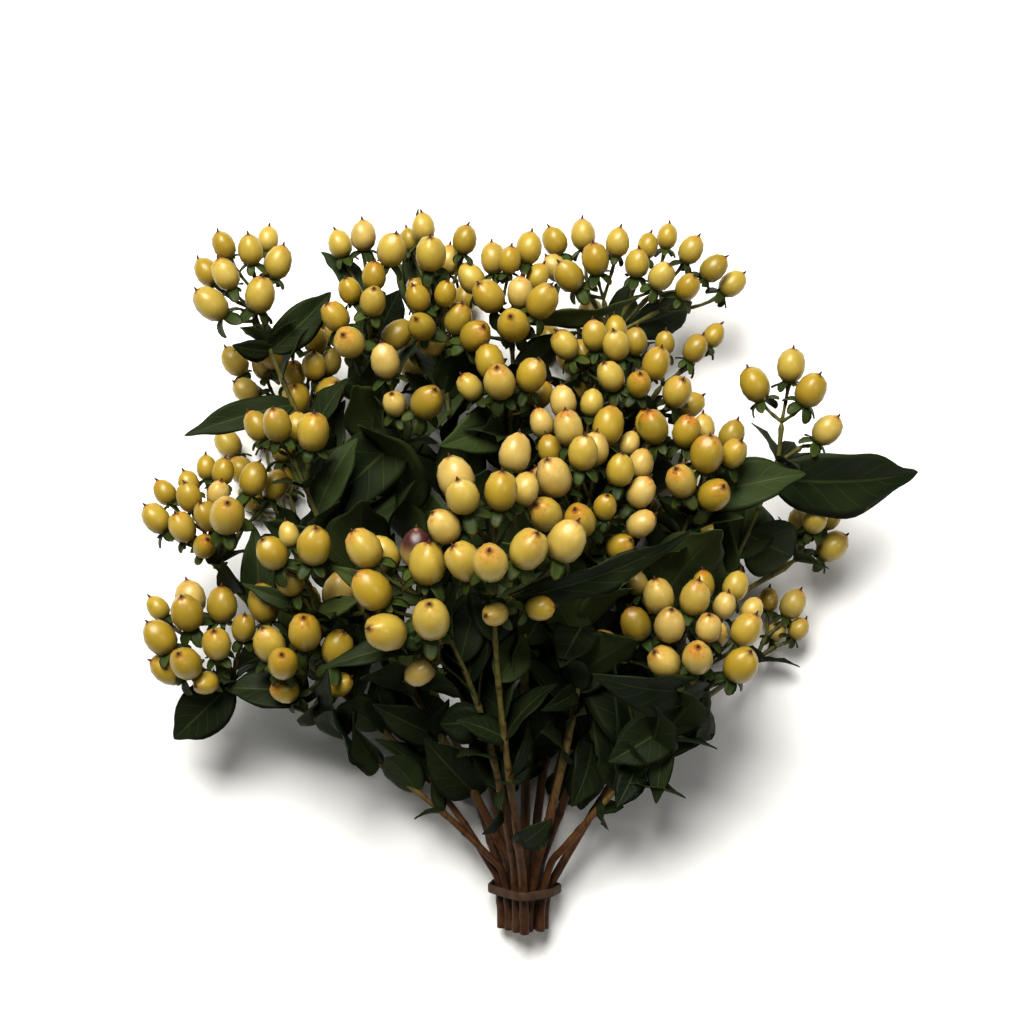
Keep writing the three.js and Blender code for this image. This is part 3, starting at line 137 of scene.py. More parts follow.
# %% The table of stems
STEMS = [
    leafy_stem(
        "stem_01_top_left", (0.5, 0.05), [[480, 740, -30], [330, 520, -35]],
        open_head([268, 345, 0], 5, [226, 246, 24], [249, 250, 26], [268, 240, 22, -8], [277, 262, 29],
            [208, 272, 26, -4], [222, 280, 28], [214, 298, 32, 6], [260, 295, 32, 4]),
        open_head([300, 425, -34], -28, [236, 362, 27], [248, 389, 25], [262, 365, 24, -6], [276, 360, 25],
            [292, 370, 26], [297, 332, 24], [310, 325, 25], [325, 330, 24, -5], [315, 345, 25, 4],
            [313, 366, 26, 5], [330, 362, 24], [325, 388, 31, 10], [297, 398, 31, 10], at=0.72)),
    leafy_stem(
        "stem_02_left_row", (0.35, 0.1), [[490, 760, 0], [330, 640, 14]],
        open_head([306, 488, 24], 32, [258, 426, 28, -6], [278, 425, 31], [297, 428, 27, -12],
            [312, 432, 35, 5]),
        open_head([312, 612, 30], 40, [272, 553, 33, 6], [314, 546, 37, 8], [289, 535, 22, -6],
            [295, 580, 30, -4], at=0.68)),
    leafy_stem(
        "stem_03_upper_left", (0.45, 0.1), [[500, 740, -12], [400, 540, -14]],
        open_head([372, 355, -14], 0, [343, 243, 25, -10], [360, 237, 27, -6], [388, 255, 31, 4],
            [375, 275, 26], [348, 297, 24], [373, 299, 28, 4], [341, 311, 29, 2], [348, 340, 33, 10],
            [397, 335, 30, -6]),
        open_head([402, 445, -8], 12, [385, 361, 31, 0], [395, 403, 25, -8], [427, 402, 34, 2], at=0.8)),
    leafy_stem(
        "stem_04_top", (0.45, 0.05), [[505, 740, -18], [455, 520, -20]],
        open_head([442, 352, -12], 0, [423, 228, 25, -4], [410, 240, 20, -12], [430, 254, 33, 6],
            [465, 240, 26, -4], [452, 262, 26, -12], [421, 290, 26, -6], [445, 296, 24, 2], [420, 302, 26, 4],
            [421, 322, 29, 8], [433, 340, 26, -2], [460, 320, 30, 2], [472, 333, 32, 10]),
        hidden_head([430, 400, -42], -58, [425, 320], 50, 27, at=0.78)),
    leafy_stem(
        "stem_05_top_centre", (0.5, 0.1), [[530, 700, 0], [525, 520, 0]],
        open_head([512, 345, -4], 0, [492, 260, 27, -10], [468, 276, 28, -4], [510, 260, 24, -2],
            [533, 250, 28, -4], [530, 275, 24, -8], [493, 296, 32, 2], [520, 295, 28, 0], [538, 300, 33, 8],
            [514, 325, 35, 12]),
        open_head([512, 440, 8], 18, [490, 362, 31, -4], [500, 382, 34, 6], [531, 375, 32, 4],
            [540, 395, 26, -8], [470, 387, 26, 0], at=0.76)),
    leafy_stem(
        "stem_06_top_right", (0.35, 0.05), [[545, 720, -26], [590, 520, -38]],
        open_head([612, 335, -34], -28, [560, 240, 26, -4], [578, 236, 26, -6], [555, 268, 26, 0],
            [571, 274, 30, 8], [593, 261, 29, 4], [620, 245, 25], [650, 245, 22, -8], [637, 262, 26],
            [660, 275, 27, 4], [665, 238, 22, -10], [691, 250, 25, -6], [716, 270, 26, -4],
            [730, 282, 25, -6], [687, 287, 25, 4]),
        hidden_head([600, 430, -46], -62, [590, 345], 52, 27, at=0.74)),
    leafy_stem(
        "stem_07_right_crown", (0.45, 0.22), [[560, 720, -8], [620, 560, -8]],
        open_head([634, 425, -6], 4, [565, 345, 28, 0], [583, 354, 26, -12], [597, 335, 28, -4],
            [614, 330, 24, -10], [616, 347, 29, 4], [635, 342, 26, -4], [614, 375, 29, 6], [637, 382, 26, 8],
            [655, 365, 30, 4], [665, 343, 20, -8], [695, 350, 25, -10], [714, 335, 22, -12],
            [677, 392, 31, 6], [690, 405, 26, -6])),
    leafy_stem(
        "stem_08_right_row", (0.35, 0.5), [[570, 740, 12], [660, 620, 12]],
        open_head([690, 515, 12], 22, [648, 425, 28, -8], [660, 430, 31, 2], [680, 430, 30, -2],
            [706, 430, 25, -8], [726, 435, 27, -6], [733, 452, 28, 2], [703, 458, 36, 6], [685, 477, 32, 8],
            [714, 495, 34, 10])),
    leafy_stem(
        "stem_09_centre", (0.7, 0.2), [[590, 760, 28], [590, 660, 34]],
        open_head([588, 560, 26], 36, [565, 405, 28, -14], [587, 403, 25, -16], [545, 420, 26, -14],
            [607, 430, 34, -10], [571, 430, 31, -2], [595, 445, 30, -6], [550, 450, 26, -10],
            [575, 460, 32, 6], [545, 480, 28, 0], [557, 482, 38, 8], [549, 502, 36, 14], [632, 443, 22, -14],
            [620, 470, 30, -2], [640, 472, 28, -8], [640, 495, 30, -4], [640, 517, 28, 0], [605, 507, 25, 4],
            [578, 520, 34, 10], [620, 535, 28, 0])),
    leafy_stem(
        "stem_10_front_row", (0.75, 0.12), [[508, 780, 40], [492, 680, 60]],
        open_head([494, 604, 54], 64, [515, 453, 34, -8], [456, 478, 40, -2], [465, 500, 36, 6],
            [495, 492, 36, 4], [447, 521, 34, 4], [525, 490, 30, -8], [470, 562, 38, 8], [493, 560, 38, 12],
            [530, 550, 40, 10], [557, 543, 41, 8], [495, 614, 26, 2], [540, 608, 27, -2])),
    leafy_stem(
        "stem_11_front_left", (0.6, 0.08), [[502, 790, 30], [480, 700, 58]],
        open_head([450, 640, 48], 56, [367, 550, 37, 0], [388, 552, 32, -8], [411, 550, 36, -6],
            [427, 563, 42, 6], [371, 588, 42, 2], [386, 632, 42, 6], [431, 619, 42, 10], [420, 672, 28, -6])),
    leafy_stem(
        "stem_12_left", (0.4, 0.12), [[470, 770, 4], [330, 680, 4]],
        open_head([216, 566, 6], 12, [205, 470, 20, -12], [221, 478, 24, -6], [190, 482, 22, -10],
            [166, 492, 23, -8], [193, 500, 27, -2], [215, 490, 24, -4], [162, 520, 28, 0], [186, 528, 28, 0],
            [198, 540, 25, 2], [205, 515, 28, 2], [227, 515, 39, 20], [256, 480, 29, -4], [273, 485, 28, -8]),
        hidden_head([300, 540, -36], -52, [265, 452], 50, 27, at=0.74), slimming=(0.42, 0.5)),
    leafy_stem(
        "stem_13_lower_left", (0.4, 0.08), [[470, 815, 14], [400, 745, 16]],
        open_head([300, 704, 14], 22, [260, 608, 34, -2], [270, 645, 34, 4], [287, 655, 33, 10],
            [303, 635, 36, 6], [308, 603, 32, -6], [341, 605, 36, -4], [337, 648, 34, 4], [285, 690, 28, 4],
            [340, 685, 24, 2]),
        open_head([232, 684, 8], 14, [190, 600, 32, -4], [158, 608, 22, -8], [182, 616, 34, 2],
            [166, 632, 33, 4], [170, 668, 33, 2], [186, 663, 33, 8], [206, 683, 25, 6], [221, 605, 32, 2],
            [220, 642, 31, 6], [243, 626, 26, 10], at=0.96), slimming=(0.42, 0.5)),
    leafy_stem(
        "stem_14_lower_right", (0.75, 0.3), [[585, 815, 22], [640, 750, 26]],
        open_head([690, 700, 22], 30, [637, 583, 24, -12], [661, 600, 33, 0], [694, 602, 33, 2],
            [637, 622, 33, -2], [669, 623, 33, 6], [606, 644, 28, -4], [707, 628, 28, 4], [722, 633, 24, 0],
            [740, 630, 32, 2], [725, 605, 25, -8], [703, 585, 25, -12], [735, 587, 27, -12],
            [752, 610, 23, -8], [665, 662, 34, 6], [698, 654, 33, 10], [741, 665, 36, 10]),
        open_head([755, 662, -22], -26, [770, 600, 20], [792, 605, 26], [779, 632, 21], [795, 628, 18],
            at=0.86), slimming=(0.38, 0.5)),
    leafy_stem(
        "stem_15_far_right", (0.6, 0.1), [[610, 820, 0], [680, 700, 0]],
        open_head([778, 462, 0], 2, [755, 385, 31, 0], [791, 366, 30, 0], [811, 390, 32, 4],
            [827, 430, 29, 4]),
        open_head([795, 560, -20], -20, [800, 522, 24], [814, 520, 26, 4], [830, 520, 22, -4], [832, 545, 29],
            at=0.7),
        hidden_head([680, 590, -36], -46, [684, 506], 48, 26, at=0.6), slimming=(0.42, 0.5)),
]
print(len(STEMS), "stems")

# %% The table of leaves
# Each is (base, tip, width, turn about its midrib in degrees).
HAND_LEAVES = (
    ([775, 476, 0], [918, 472, -8], 72, 12), ([732, 512, 14], [806, 474, 20], 50, -18),
    ([750, 470, -16], [796, 448, -22], 24, 40), ([722, 520, -6], [792, 556, -14], 62, 15),
    ([545, 592, 62], [692, 530, 62], 36, 34), ([560, 590, 50], [600, 606, 58], 22, 0),
    ([428, 548, 46], [428, 476, 56], 38, 0), ([404, 530, 34], [340, 537, 42], 20, 20),
    ([358, 462, 4], [306, 526, 16], 62, 0), ([372, 380, -16], [384, 500, -6], 46, -20),
    ([222, 690, 4], [174, 739, 4], 50, 0), ([316, 692, 16], [232, 664, 26], 42, 30),
    ([330, 612, 26], [245, 556, 34], 20, 60), ([446, 646, 50], [316, 672, 56], 27, 35),
    ([238, 596, 8], [224, 572, 24], 24, 20), ([297, 412, 4], [184, 436, 4], 30, 10),
    ([274, 350, 0], [331, 292, -6], 36, 20), ([266, 352, 0], [232, 345, 6], 22, 10),
    ([378, 300, -14], [321, 252, -18], 28, 20), ([432, 300, -18], [443, 197, -16], 20, 35),
    ([418, 330, -22], [408, 240, -26], 34, 0), ([622, 345, -40], [628, 283, -46], 30, 0),
    ([640, 350, -40], [692, 302, -50], 40, 10), ([560, 314, -12], [642, 324, -6], 26, 62),
    ([430, 786, 4], [362, 764, 12], 24, 15), ([388, 752, 14], [354, 727, 22], 24, 0),
    ([430, 742, 6], [372, 704, 16], 34, 0), ([486, 792, 10], [424, 738, 18], 46, 0),
    ([505, 806, 26], [474, 812, 32], 22, 0), ([535, 846, 22], [552, 818, 30], 30, 0),
    ([634, 762, 20], [616, 808, 26], 30, 0), ([676, 742, 18], [656, 804, 22], 24, 70),
    ([714, 690, 10], [694, 744, 20], 40, 10), ([704, 706, 34], [592, 674, 48], 54, 20),
    ([655, 708, 16], [608, 762, 26], 50, 0), ([590, 700, 34], [541, 711, 44], 20, 0),
    ([532, 762, 24], [528, 718, 32], 28, 0), ([590, 742, 10], [548, 792, 20], 48, 0),
    ([500, 700, 30], [440, 724, 34], 40, 0), ([470, 420, 0], [440, 446, 14], 50, -10),
    ([520, 620, 30], [560, 668, 40], 44, 0), ([620, 620, 2], [640, 560, 14], 50, 0),
    ([690, 600, 0], [676, 552, 12], 46, -10), ([370, 700, 20], [420, 672, 28], 40, 10),
    ([402, 437, -8], [350, 345, -24], 46, 0), ([471, 566, -22], [404, 462, -24], 50, 0),
    ([522, 640, -8], [560, 570, -10], 52, 0), ([558, 669, -24], [516, 590, -28], 54, 0),
    ([525, 750, -4], [584, 680, -4], 50, 0), ([501, 757, -8], [452, 682, -14], 46, 0),
    ([544, 761, -14], [528, 660, -18], 50, 0), ([565, 742, -8], [632, 680, -14], 52, 0),
    ([434, 694, -14], [398, 618, -20], 42, 0), ([262, 612, 4], [254, 526, 0], 34, 0),
    ([415, 330, -18], [396, 262, -28], 26, 0), ([430, 262, -24], [443, 197, -22], 15, 30),
    ([487, 664, -16], [478, 560, -24], 50, 0), ([600, 600, -16], [574, 520, -24], 46, 0),
)
print(len(HAND_LEAVES), "leaves placed by hand")

# %% [markdown]
# ## Heads and courses
# A head is a dome, so its middle stands in front of its rim. A stem runs straight up out of the band and
# then bends out to its head, which a Bezier curve through a few pulling points gives: it starts and ends
# exactly where it should, and it never kinks.

# %% Heads of berries
HEAD_BULGE = 7
SPIRAL_COUNT = 7
SPIRAL_STAGGER = 10
GOLDEN_ANGLE = 2.39996
ROW_FACTOR, ROW_MODULUS = 16807, 2147483647


def spiral_berries(centre, reach, width, seed):
    """Berries spread evenly over a disc: each next one is a golden angle on, at a distance from the middle
    that grows as the square root of its number. Its depth is drawn from a repeatable row of numbers, in
    which each is the one before times a factor, less all whole multiples of a modulus."""
    rows, state = [], seed
    for i in range(SPIRAL_COUNT):
        state = state * ROW_FACTOR % ROW_MODULUS
        radius = reach * math.sqrt((i + 0.5) / SPIRAL_COUNT)
        angle = i * GOLDEN_ANGLE
        x, y = centre[0] + radius * math.cos(angle), centre[1] + radius * math.sin(angle)
        rows.append([x, y, width, SPIRAL_STAGGER * state / ROW_MODULUS])
    return rows


def head_of(spec, seed):
    """A head's berries as points and widths: the depth of each is that of its head, plus its own, plus a
    dome that falls off with the square of its distance from the head's middle."""
    rows = spec["berries"] if "berries" in spec else spiral_berries(*spec["spiral"], seed)
    rows = np.array([list(row) + [0] * (4 - len(row)) for row in rows], float)
    off = np.linalg.norm(rows[:, :2] - rows[:, :2].mean(0), axis=1)
    rim = off / off.max()
    depth = spec["depth"] + rows[:, 3] + HEAD_BULGE * (1 - rim * rim)
    size = rows[:, 2] * VIEW_UNIT * (VIEW_DISTANCE - depth) / VIEW_DISTANCE
    return {
        "fork": place(spec["fork"]),
        "at": spec["at"],
        "spots": place(np.column_stack([rows[:, :2], depth])),
        "widths": np.clip(size, LEAST_BERRY, MOST_BERRY),
    }


# %% Courses of the stems
STEP = 6
STRAIGHT_LENGTH = 36
HEAD_LEAD = 22
ROUGH_STEPS = 60


def bezier(pulls, t):
    """The Bezier curve over a list of points, at the shares t: each round puts a point at t between each
    two neighbours, until one is left."""
    t = np.asarray(t, float)[:, None]
    row = [np.broadcast_to(p, (len(t), 3)) for p in pulls]
    while len(row) > 1:
        row = [a + (b - a) * t for a, b in zip(row, row[1:])]
    return row[0]


def course_of(spec, foot, head):
    """Points STEP apart along a stem, from its foot to the fork of its main head."""
    lead = unit(head["spots"].mean(0) - head["fork"]) * HEAD_LEAD
    pulls = [foot, foot + ALONG * STRAIGHT_LENGTH, *place(spec["via"]), head["fork"] - lead, head["fork"]]
    rough = bezier(pulls, np.arange(ROUGH_STEPS + 1) / ROUGH_STEPS)
    length = np.linalg.norm(np.diff(rough, axis=0), axis=1).sum()
    count = math.floor(length / STEP + 0.5)
    return bezier(pulls, np.arange(count + 1) / count)


# %% [markdown]
# ## Packing the feet
# Fifteen stems go through one rubber band, so their feet lie as close as pencils in a fist. Each starts on
# the side that its head grows to. Then all are drawn in a little, over and over, and any two that come too
# close are pushed apart. That settles into a tight pack without any lattice.

# %% Feet of the stems
PACK_ROUNDS = 400
DRAW_ROUNDS = 340
DRAW_IN = 0.985
FOOT_SPREAD = 0.03
VIA_WEIGHT = 1.5
DEPTH_WEIGHT = 1.6


def pack_feet():
    """Feet as distances across and in front of the bundle's middle."""
    middle = place(CROWN_MIDDLE)
    feet = []
    for stem in STEMS:
        off = place(stem["heads"][0]["fork"]) - middle
        off = off + VIA_WEIGHT * (place(stem["via"]) - middle).sum(0)
        feet.append([off @ ACROSS * FOOT_SPREAD, off @ FRONT * DEPTH_WEIGHT * FOOT_SPREAD])
    for turn in range(PACK_ROUNDS):
        if turn < DRAW_ROUNDS:
            feet = [[x * DRAW_IN, y * DRAW_IN] for x, y in feet]
        for i, a in enumerate(feet):
            for b in feet[i + 1:]:
                gap = math.hypot(b[0] - a[0], b[1] - a[1])
                if gap < STEM_PITCH:
                    share = (STEM_PITCH - gap) / 2 / gap
                    dx, dy = (b[0] - a[0]) * share, (b[1] - a[1]) * share
                    a[0], a[1], b[0], b[1] = a[0] - dx, a[1] - dy, b[0] + dx, b[1] + dy
    return np.array(feet)


feet = pack_feet()
print("the bundle is", np.ptp(feet, axis=0).round(1) + 2 * FOOT_RADIUS, "mm")

# %% [markdown]
# ## Growing room for every berry
# Berries in a real bunch touch but don't run through each other. To get that, wood and berries are
# described by balls. A ball sits at one movable point, or between two, and moves with them. All balls that
# overlap push each other off, round after round, while a weak pull holds everything near its first place
# and the stems are kept smooth. Physics simulation could do it too, but this takes seconds and gives the
# same result each time.

# %% Points and balls
ROD_STEP = 2.5
ROD_START = 0.15
KNOT_SHARE = 0.5
BERRIES_PER_KNOT = 3
HELD_LENGTH = 20
BERRY_BALL = 0.53
WOOD, PEDICEL, BERRY = 0, 1, 2
homes, holds = [], []  # movable points, and how freely each moves
balls = []  # (point a, point b, share of the way, radius, stem, kind)


def stem_radius(share):
    """A stem's radius falls evenly from its foot to its head."""
    return FOOT_RADIUS + (STEM_TIP_RADIUS - FOOT_RADIUS) * share


def add_point(p, hold=1.0):
    homes.append(np.array(p, float))
    holds.append(hold)
    return len(homes) - 1


def add_rod(a, b, radius, stem, kind):
    """Balls between two points, ROD_STEP apart, the first a little way off point a."""
    count = max(2, math.floor(np.linalg.norm(homes[b] - homes[a]) / ROD_STEP + 0.5))
    for i in range(count):
        balls.append((a, b, ROD_START + (1 - ROD_START) * i / count, radius, stem, kind))


def plant(spec, s):
    """One stem's points and balls: its course, its branches, and each head's twigs with three berries
    each."""
    foot = place(CUT_END) + ACROSS * feet[s][0] + FRONT * feet[s][1]
    heads = [head_of(head, 1000 * (s + 1) + h) for h, head in enumerate(spec["heads"])]
    chain = [add_point(p, 0.0 if i * STEP < HELD_LENGTH else 1.0)
             for i, p in enumerate(course_of(spec, foot, heads[0]))]
    last = len(chain) - 1
    for i, f in enumerate(chain):
        balls.append((f, f, 0.0, stem_radius(i / last), s, WOOD))
        if i < last:
            balls.append((f, chain[i + 1], 0.5, stem_radius(i / last), s, WOOD))
    stem = {"name": spec["name"], "chain": chain, "branches": [], "twigs": [], "berries": []}
    for head in heads:
        fork = chain[last]
        if head["at"]:
            root = chain[math.floor(head["at"] * last + 0.5)]
            fork = add_point(head["fork"])
            add_rod(root, fork, BRANCH_RADIUS, s, WOOD)
            stem["branches"].append((root, fork))
        balls.append((fork, fork, 0.0, KNOB_RADIUS, s, WOOD))
        for i in range(0, len(head["spots"]), BERRIES_PER_KNOT):
            group = head["spots"][i:i + BERRIES_PER_KNOT]
            knot = add_point(homes[fork] + (group.mean(0) - homes[fork]) * KNOT_SHARE)
            add_rod(fork, knot, TWIG_RADIUS, s, WOOD)
            stem["twigs"].append((fork, knot))
            for p, width in zip(group, head["widths"][i:]):
                f = add_point(p)
                balls.append((f, f, 0.0, width * BERRY_BALL, s, BERRY))
                add_rod(knot, f, PEDICEL_RADIUS, s, PEDICEL)
                stem["berries"].append((knot, f, width))
    return stem


stems = [plant(spec, s) for s, spec in enumerate(STEMS)]
home = np.array(homes)
hold = np.array(holds)[:, None]
end_a, end_b, share, radius, owner, kind = (np.array(column) for column in zip(*balls))
print(len(homes), "points,", len(balls), "balls,", sum(len(s["berries"]) for s in stems), "berries")

# %% Which balls watch each other
NEAR = 14


def watched_pairs():
    """All pairs of balls near enough to meet. Within one stem, wood doesn't push wood, and nothing pushes
    what it is joined to."""
    at = home[end_a] + (home[end_b] - home[end_a]) * share[:, None]
    found = []
    for i in range(len(at) - 1):
        gap = np.linalg.norm(at[i + 1:] - at[i], axis=1)
        j = i + 1 + np.flatnonzero(gap < radius[i] + radius[i + 1:] + NEAR)
        same = owner[j] == owner[i]
        joined = np.isin(end_a[j], (end_a[i], end_b[i])) | np.isin(end_b[j], (end_a[i], end_b[i]))
        both_wood = (kind[j] == WOOD) & (kind[i] == WOOD)
        j = j[~(same & (joined | both_wood))]
        found.append(np.column_stack([np.full(len(j), i), j]))
    return np.concatenate(found).T


first, second = watched_pairs()
print(len(first), "pairs are watched")

# %% Pushing apart
ROUNDS = 160
PULL_ROUNDS = 90
SMOOTH_ROUNDS = 148
PULL = 0.06
SMOOTH = 0.35
PUSH = 0.4
RAISE = 0.6


def push_apart():
    """Each round, every overlap is shared out to the points that carry the two balls, by their levers, and
    whatever lies below the table is raised. Then points go part of the way home, and each stem's points
    part of the way to the middle of their neighbours."""
    free = home.copy()
    press = np.where(kind == BERRY, REST_PRESS, WOOD_PRESS)
    for turn in range(ROUNDS):
        at = free[end_a] + (free[end_b] - free[end_a]) * share[:, None]
        gap = at[second] - at[first]
        far = np.linalg.norm(gap, axis=1)
        short = radius[first] + radius[second] + CLEARANCE - far
        on = short > 0
        move = gap[on] * (short[on] * PUSH / far[on])[:, None]
        shift = np.zeros_like(free)
        a, b = first[on], second[on]
        for ball, sign in ((a, -1), (b, 1)):
            np.add.at(shift, end_a[ball], move * (sign * (1 - share[ball]))[:, None])
            np.add.at(shift, end_b[ball], move * (sign * share[ball])[:, None])
        low = np.maximum(radius - press - at[:, 2], 0) * RAISE
        np.add.at(shift[:, 2], end_a, low * (1 - share))
        np.add.at(shift[:, 2], end_b, low * share)
        free += shift * hold
        if turn < PULL_ROUNDS:
            free += (home - free) * PULL * hold
        if turn < SMOOTH_ROUNDS:
            for stem in stems:
                chain = np.array(stem["chain"])
                middle = (free[chain[:-2]] + free[chain[2:]]) / 2
                inner = chain[1:-1]
                free[inner] += (middle - free[inner]) * SMOOTH * hold[inner]
    return free


free = push_apart()
ball_at = free[end_a] + (free[end_b] - free[end_a]) * share[:, None]
overlap = radius[first] + radius[second] - np.linalg.norm(ball_at[second] - ball_at[first], axis=1)
print("deepest overlap left:", overlap.max().round(3), "mm")

# %% [markdown]
# ## Finding room for the leaves
# A leaf is a blade between a base and a tip that faces some way. It is bent out of the way of berries as a
# florist would: tried as planned, then a little smaller, lifted, swung and rolled, until sampled points of
# it have room to every ball and to the leaves that are there already. The first try that fits is kept.

# %% The form of a blade
LEAF_ARCH = 0.09
LEAF_FOLD = 0.22
LEAF_FOOT = 0.8
LEAF_SCALE = 2.674


def leaf_outline(s):
    """Half width at s, from base to tip, as a share of the greatest: a power of s, which broadens it soon,
    times a power of what is left to the tip, which draws it out to a point."""
    return LEAF_SCALE * s**0.6 * (1 - s) ** 0.85


def leaf_points(leaf, s, c):
    """Points of the blade's middle surface: along the chord by s, out to the side by c times the half
    width, and up by an arch along it and a fold across it."""
    length = np.linalg.norm(leaf["tip"] - leaf["base"])
    half = (leaf["width"] / 2 * leaf_outline(s) + LEAF_FOOT * (1 - s)) * c
    rise = LEAF_ARCH * length * 4 * s * (1 - s) + LEAF_FOLD * np.abs(half)
    chord = (leaf["tip"] - leaf["base"]) * s[..., None]
    return leaf["base"] + chord + leaf["up"] * rise[..., None] + leaf["side"] * half[..., None]


def leaf_from(base, tip, width, face, roll):
    """A leaf whose upper face looks as nearly along face as it can, rolled about its chord by an angle."""
    along = unit(tip - base)
    level = unit(face - along * (face @ along))
    up = level * math.cos(roll) + np.cross(along, level) * math.sin(roll)
    return {"base": base, "tip": tip, "width": width, "up": up, "side": np.cross(up, along)}


# %% Trying where a blade has room
ACROSS_SAMPLES = np.array([-1, -0.67, -0.33, 0, 0.33, 0.67, 1])
BASE_SAMPLES = np.array([0.08, 0.14, 0.2, 0.26])
BLADE_SAMPLES = np.array([0.32, 0.39, 0.46, 0.53, 0.6, 0.67, 0.74, 0.81, 0.88, 0.94, 1])
LEAF_APART = 1.6
LEAF_CLEAR = 0.6
LEAF_WATCH = 22
ROOMY = {"room": 1.6, "sizes": (1, 0.9, 0.8, 0.68), "lifts": (0, 8, -8, 16, -16), "swings": (0, 10, -10),
         "rolls": (0, 18, -18, 36, -36, 60, -60)}


def samples_of(leaf, stations):
    s, c = np.meshgrid(stations, ACROSS_SAMPLES, indexing="ij")
    return leaf_points(leaf, s.ravel(), c.ravel())


def has_room(samples, centres, radii, others, room):
    """Whether no sample is nearer than room to the table, to a ball's skin or to another leaf."""
    if samples[:, 2].min() - LEAF_CLEAR < room:
        return False
    for points, reach in ((centres, radii), (others, LEAF_APART)):
        if len(points):
            square = ((samples[:, None] - points[None]) ** 2).sum(-1)
            if (np.sqrt(square) - reach).min() < room:
                return False
    return True


def settle_leaf(base, tip, width, face, roll, foreign, own, others, ways=ROOMY):
    """The first way of setting a leaf in which all of it clears what isn't its own stem's, and its blade
    clears its own stem's too. foreign and own mark balls, and others are samples of other leaves."""
    chord = tip - base
    length = np.linalg.norm(chord)
    far = np.linalg.norm(ball_at - base, axis=1)
    watch = far < length + LEAF_WATCH + radius
    near, both = foreign & watch, (foreign | own) & watch
    close = others[np.linalg.norm(others - base, axis=1) < length + LEAF_WATCH]
    sideways = unit(np.cross(face, chord))
    for size, lift, swing, extra in product(ways["sizes"], ways["lifts"], ways["swings"], ways["rolls"]):
        moved = base + unit(chord + face * lift + sideways * swing) * length * size
        leaf = leaf_from(base, moved, width * size, face, math.radians(roll + extra))
        if all(has_room(samples_of(leaf, stations), ball_at[balls], radius[balls], close, ways["room"])
               for stations, balls in ((BLADE_SAMPLES, both), (BASE_SAMPLES, near))):
            return leaf
    return None


# %% Leaves placed one by one
leaves = []
taken = [np.zeros((0, 3)) for _ in stems]


def others_of(s):
    return np.concatenate([points for k, points in enumerate(taken) if k != s])


def keep(leaf, s):
    if leaf:
        leaves.append({**leaf, "stem": s})
        taken[s] = np.concatenate([taken[s], samples_of(leaf, np.append(BASE_SAMPLES, BLADE_SAMPLES))])


nothing = np.zeros(len(balls), bool)
wood_balls = np.flatnonzero(kind == WOOD)


def place_leaf(base, tip, width, turn, ways=ROOMY):
    """A leaf that grows from the wood nearest to a place in the view. If it finds no room beside its own
    stem, it may touch that one."""
    root = wood_balls[np.argmin(np.linalg.norm(ball_at[wood_balls] - place(base), axis=1))]
    s = owner[root]
    size = width * VIEW_UNIT * (VIEW_DISTANCE - base[2]) / VIEW_DISTANCE
    plan = (ball_at[root], place(tip), size, FRONT, turn, owner != s)
    keep(settle_leaf(*plan, owner == s, others_of(s), ways)
         or settle_leaf(*plan, nothing, others_of(s), ways), s)


for plan in HAND_LEAVES:
    place_leaf(*plan)
print(len(leaves), "of", len(HAND_LEAVES), "found room")

# %% A pair of side leaves on each stem
PAIR_AT = 0.68
PAIR_LENGTH = 50
PAIR_WIDTH = 23
PAIR_OUT = 0.8
PAIR_UP = 0.6
PAIR_TURN = 0.7
PAIR_REACH = 75
PAIR_DEPTH = 50


def turned(vector, axis, angle):
    """A vector turned about an axis square to it."""
    return vector * math.cos(angle) + np.cross(axis, vector) * math.sin(angle)


def stem_leaf(s, at, angle, length, width, ways=ROOMY):
    """A leaf that grows from a share of a stem's length, out and up at an angle round the stem. Those that
    would stick out at the side or hide the berries in front were stripped off."""
    chain = stems[s]["chain"]
    i = min(len(chain) - 2, math.floor(at * (len(chain) - 1) + 0.5))
    along = unit(free[chain[i + 1]] - free[chain[i - 1]])
    out = turned(unit(np.cross(along, FRONT)), along, angle)
    tip = free[chain[i]] + unit(out * PAIR_OUT + along * PAIR_UP) * length
    off = tip - ORIGIN_SHIFT
    if abs(off[0]) > PAIR_REACH or off @ FRONT > PAIR_DEPTH:
        return None
    return settle_leaf(free[chain[i]], tip, width, along, 0, owner != s, owner == s, others_of(s), ways)


for s in range(len(stems)):
    for half_turn in (0, math.pi):
        keep(stem_leaf(s, PAIR_AT, half_turn + s * PAIR_TURN, PAIR_LENGTH, PAIR_WIDTH), s)
solid_leaves = len(leaves)
print(solid_leaves, "leaves so far")

# %% [markdown]
# ## Small leaves that the plain solids leave out
# A real stem has a pair of leaves at every joint, and small bracts where a head forks. They fill the
# bunch's inside, which is why it looks so dark between the berries. They are tried in fewer ways and may
# stand closer, because there are many of them and most are half hidden.

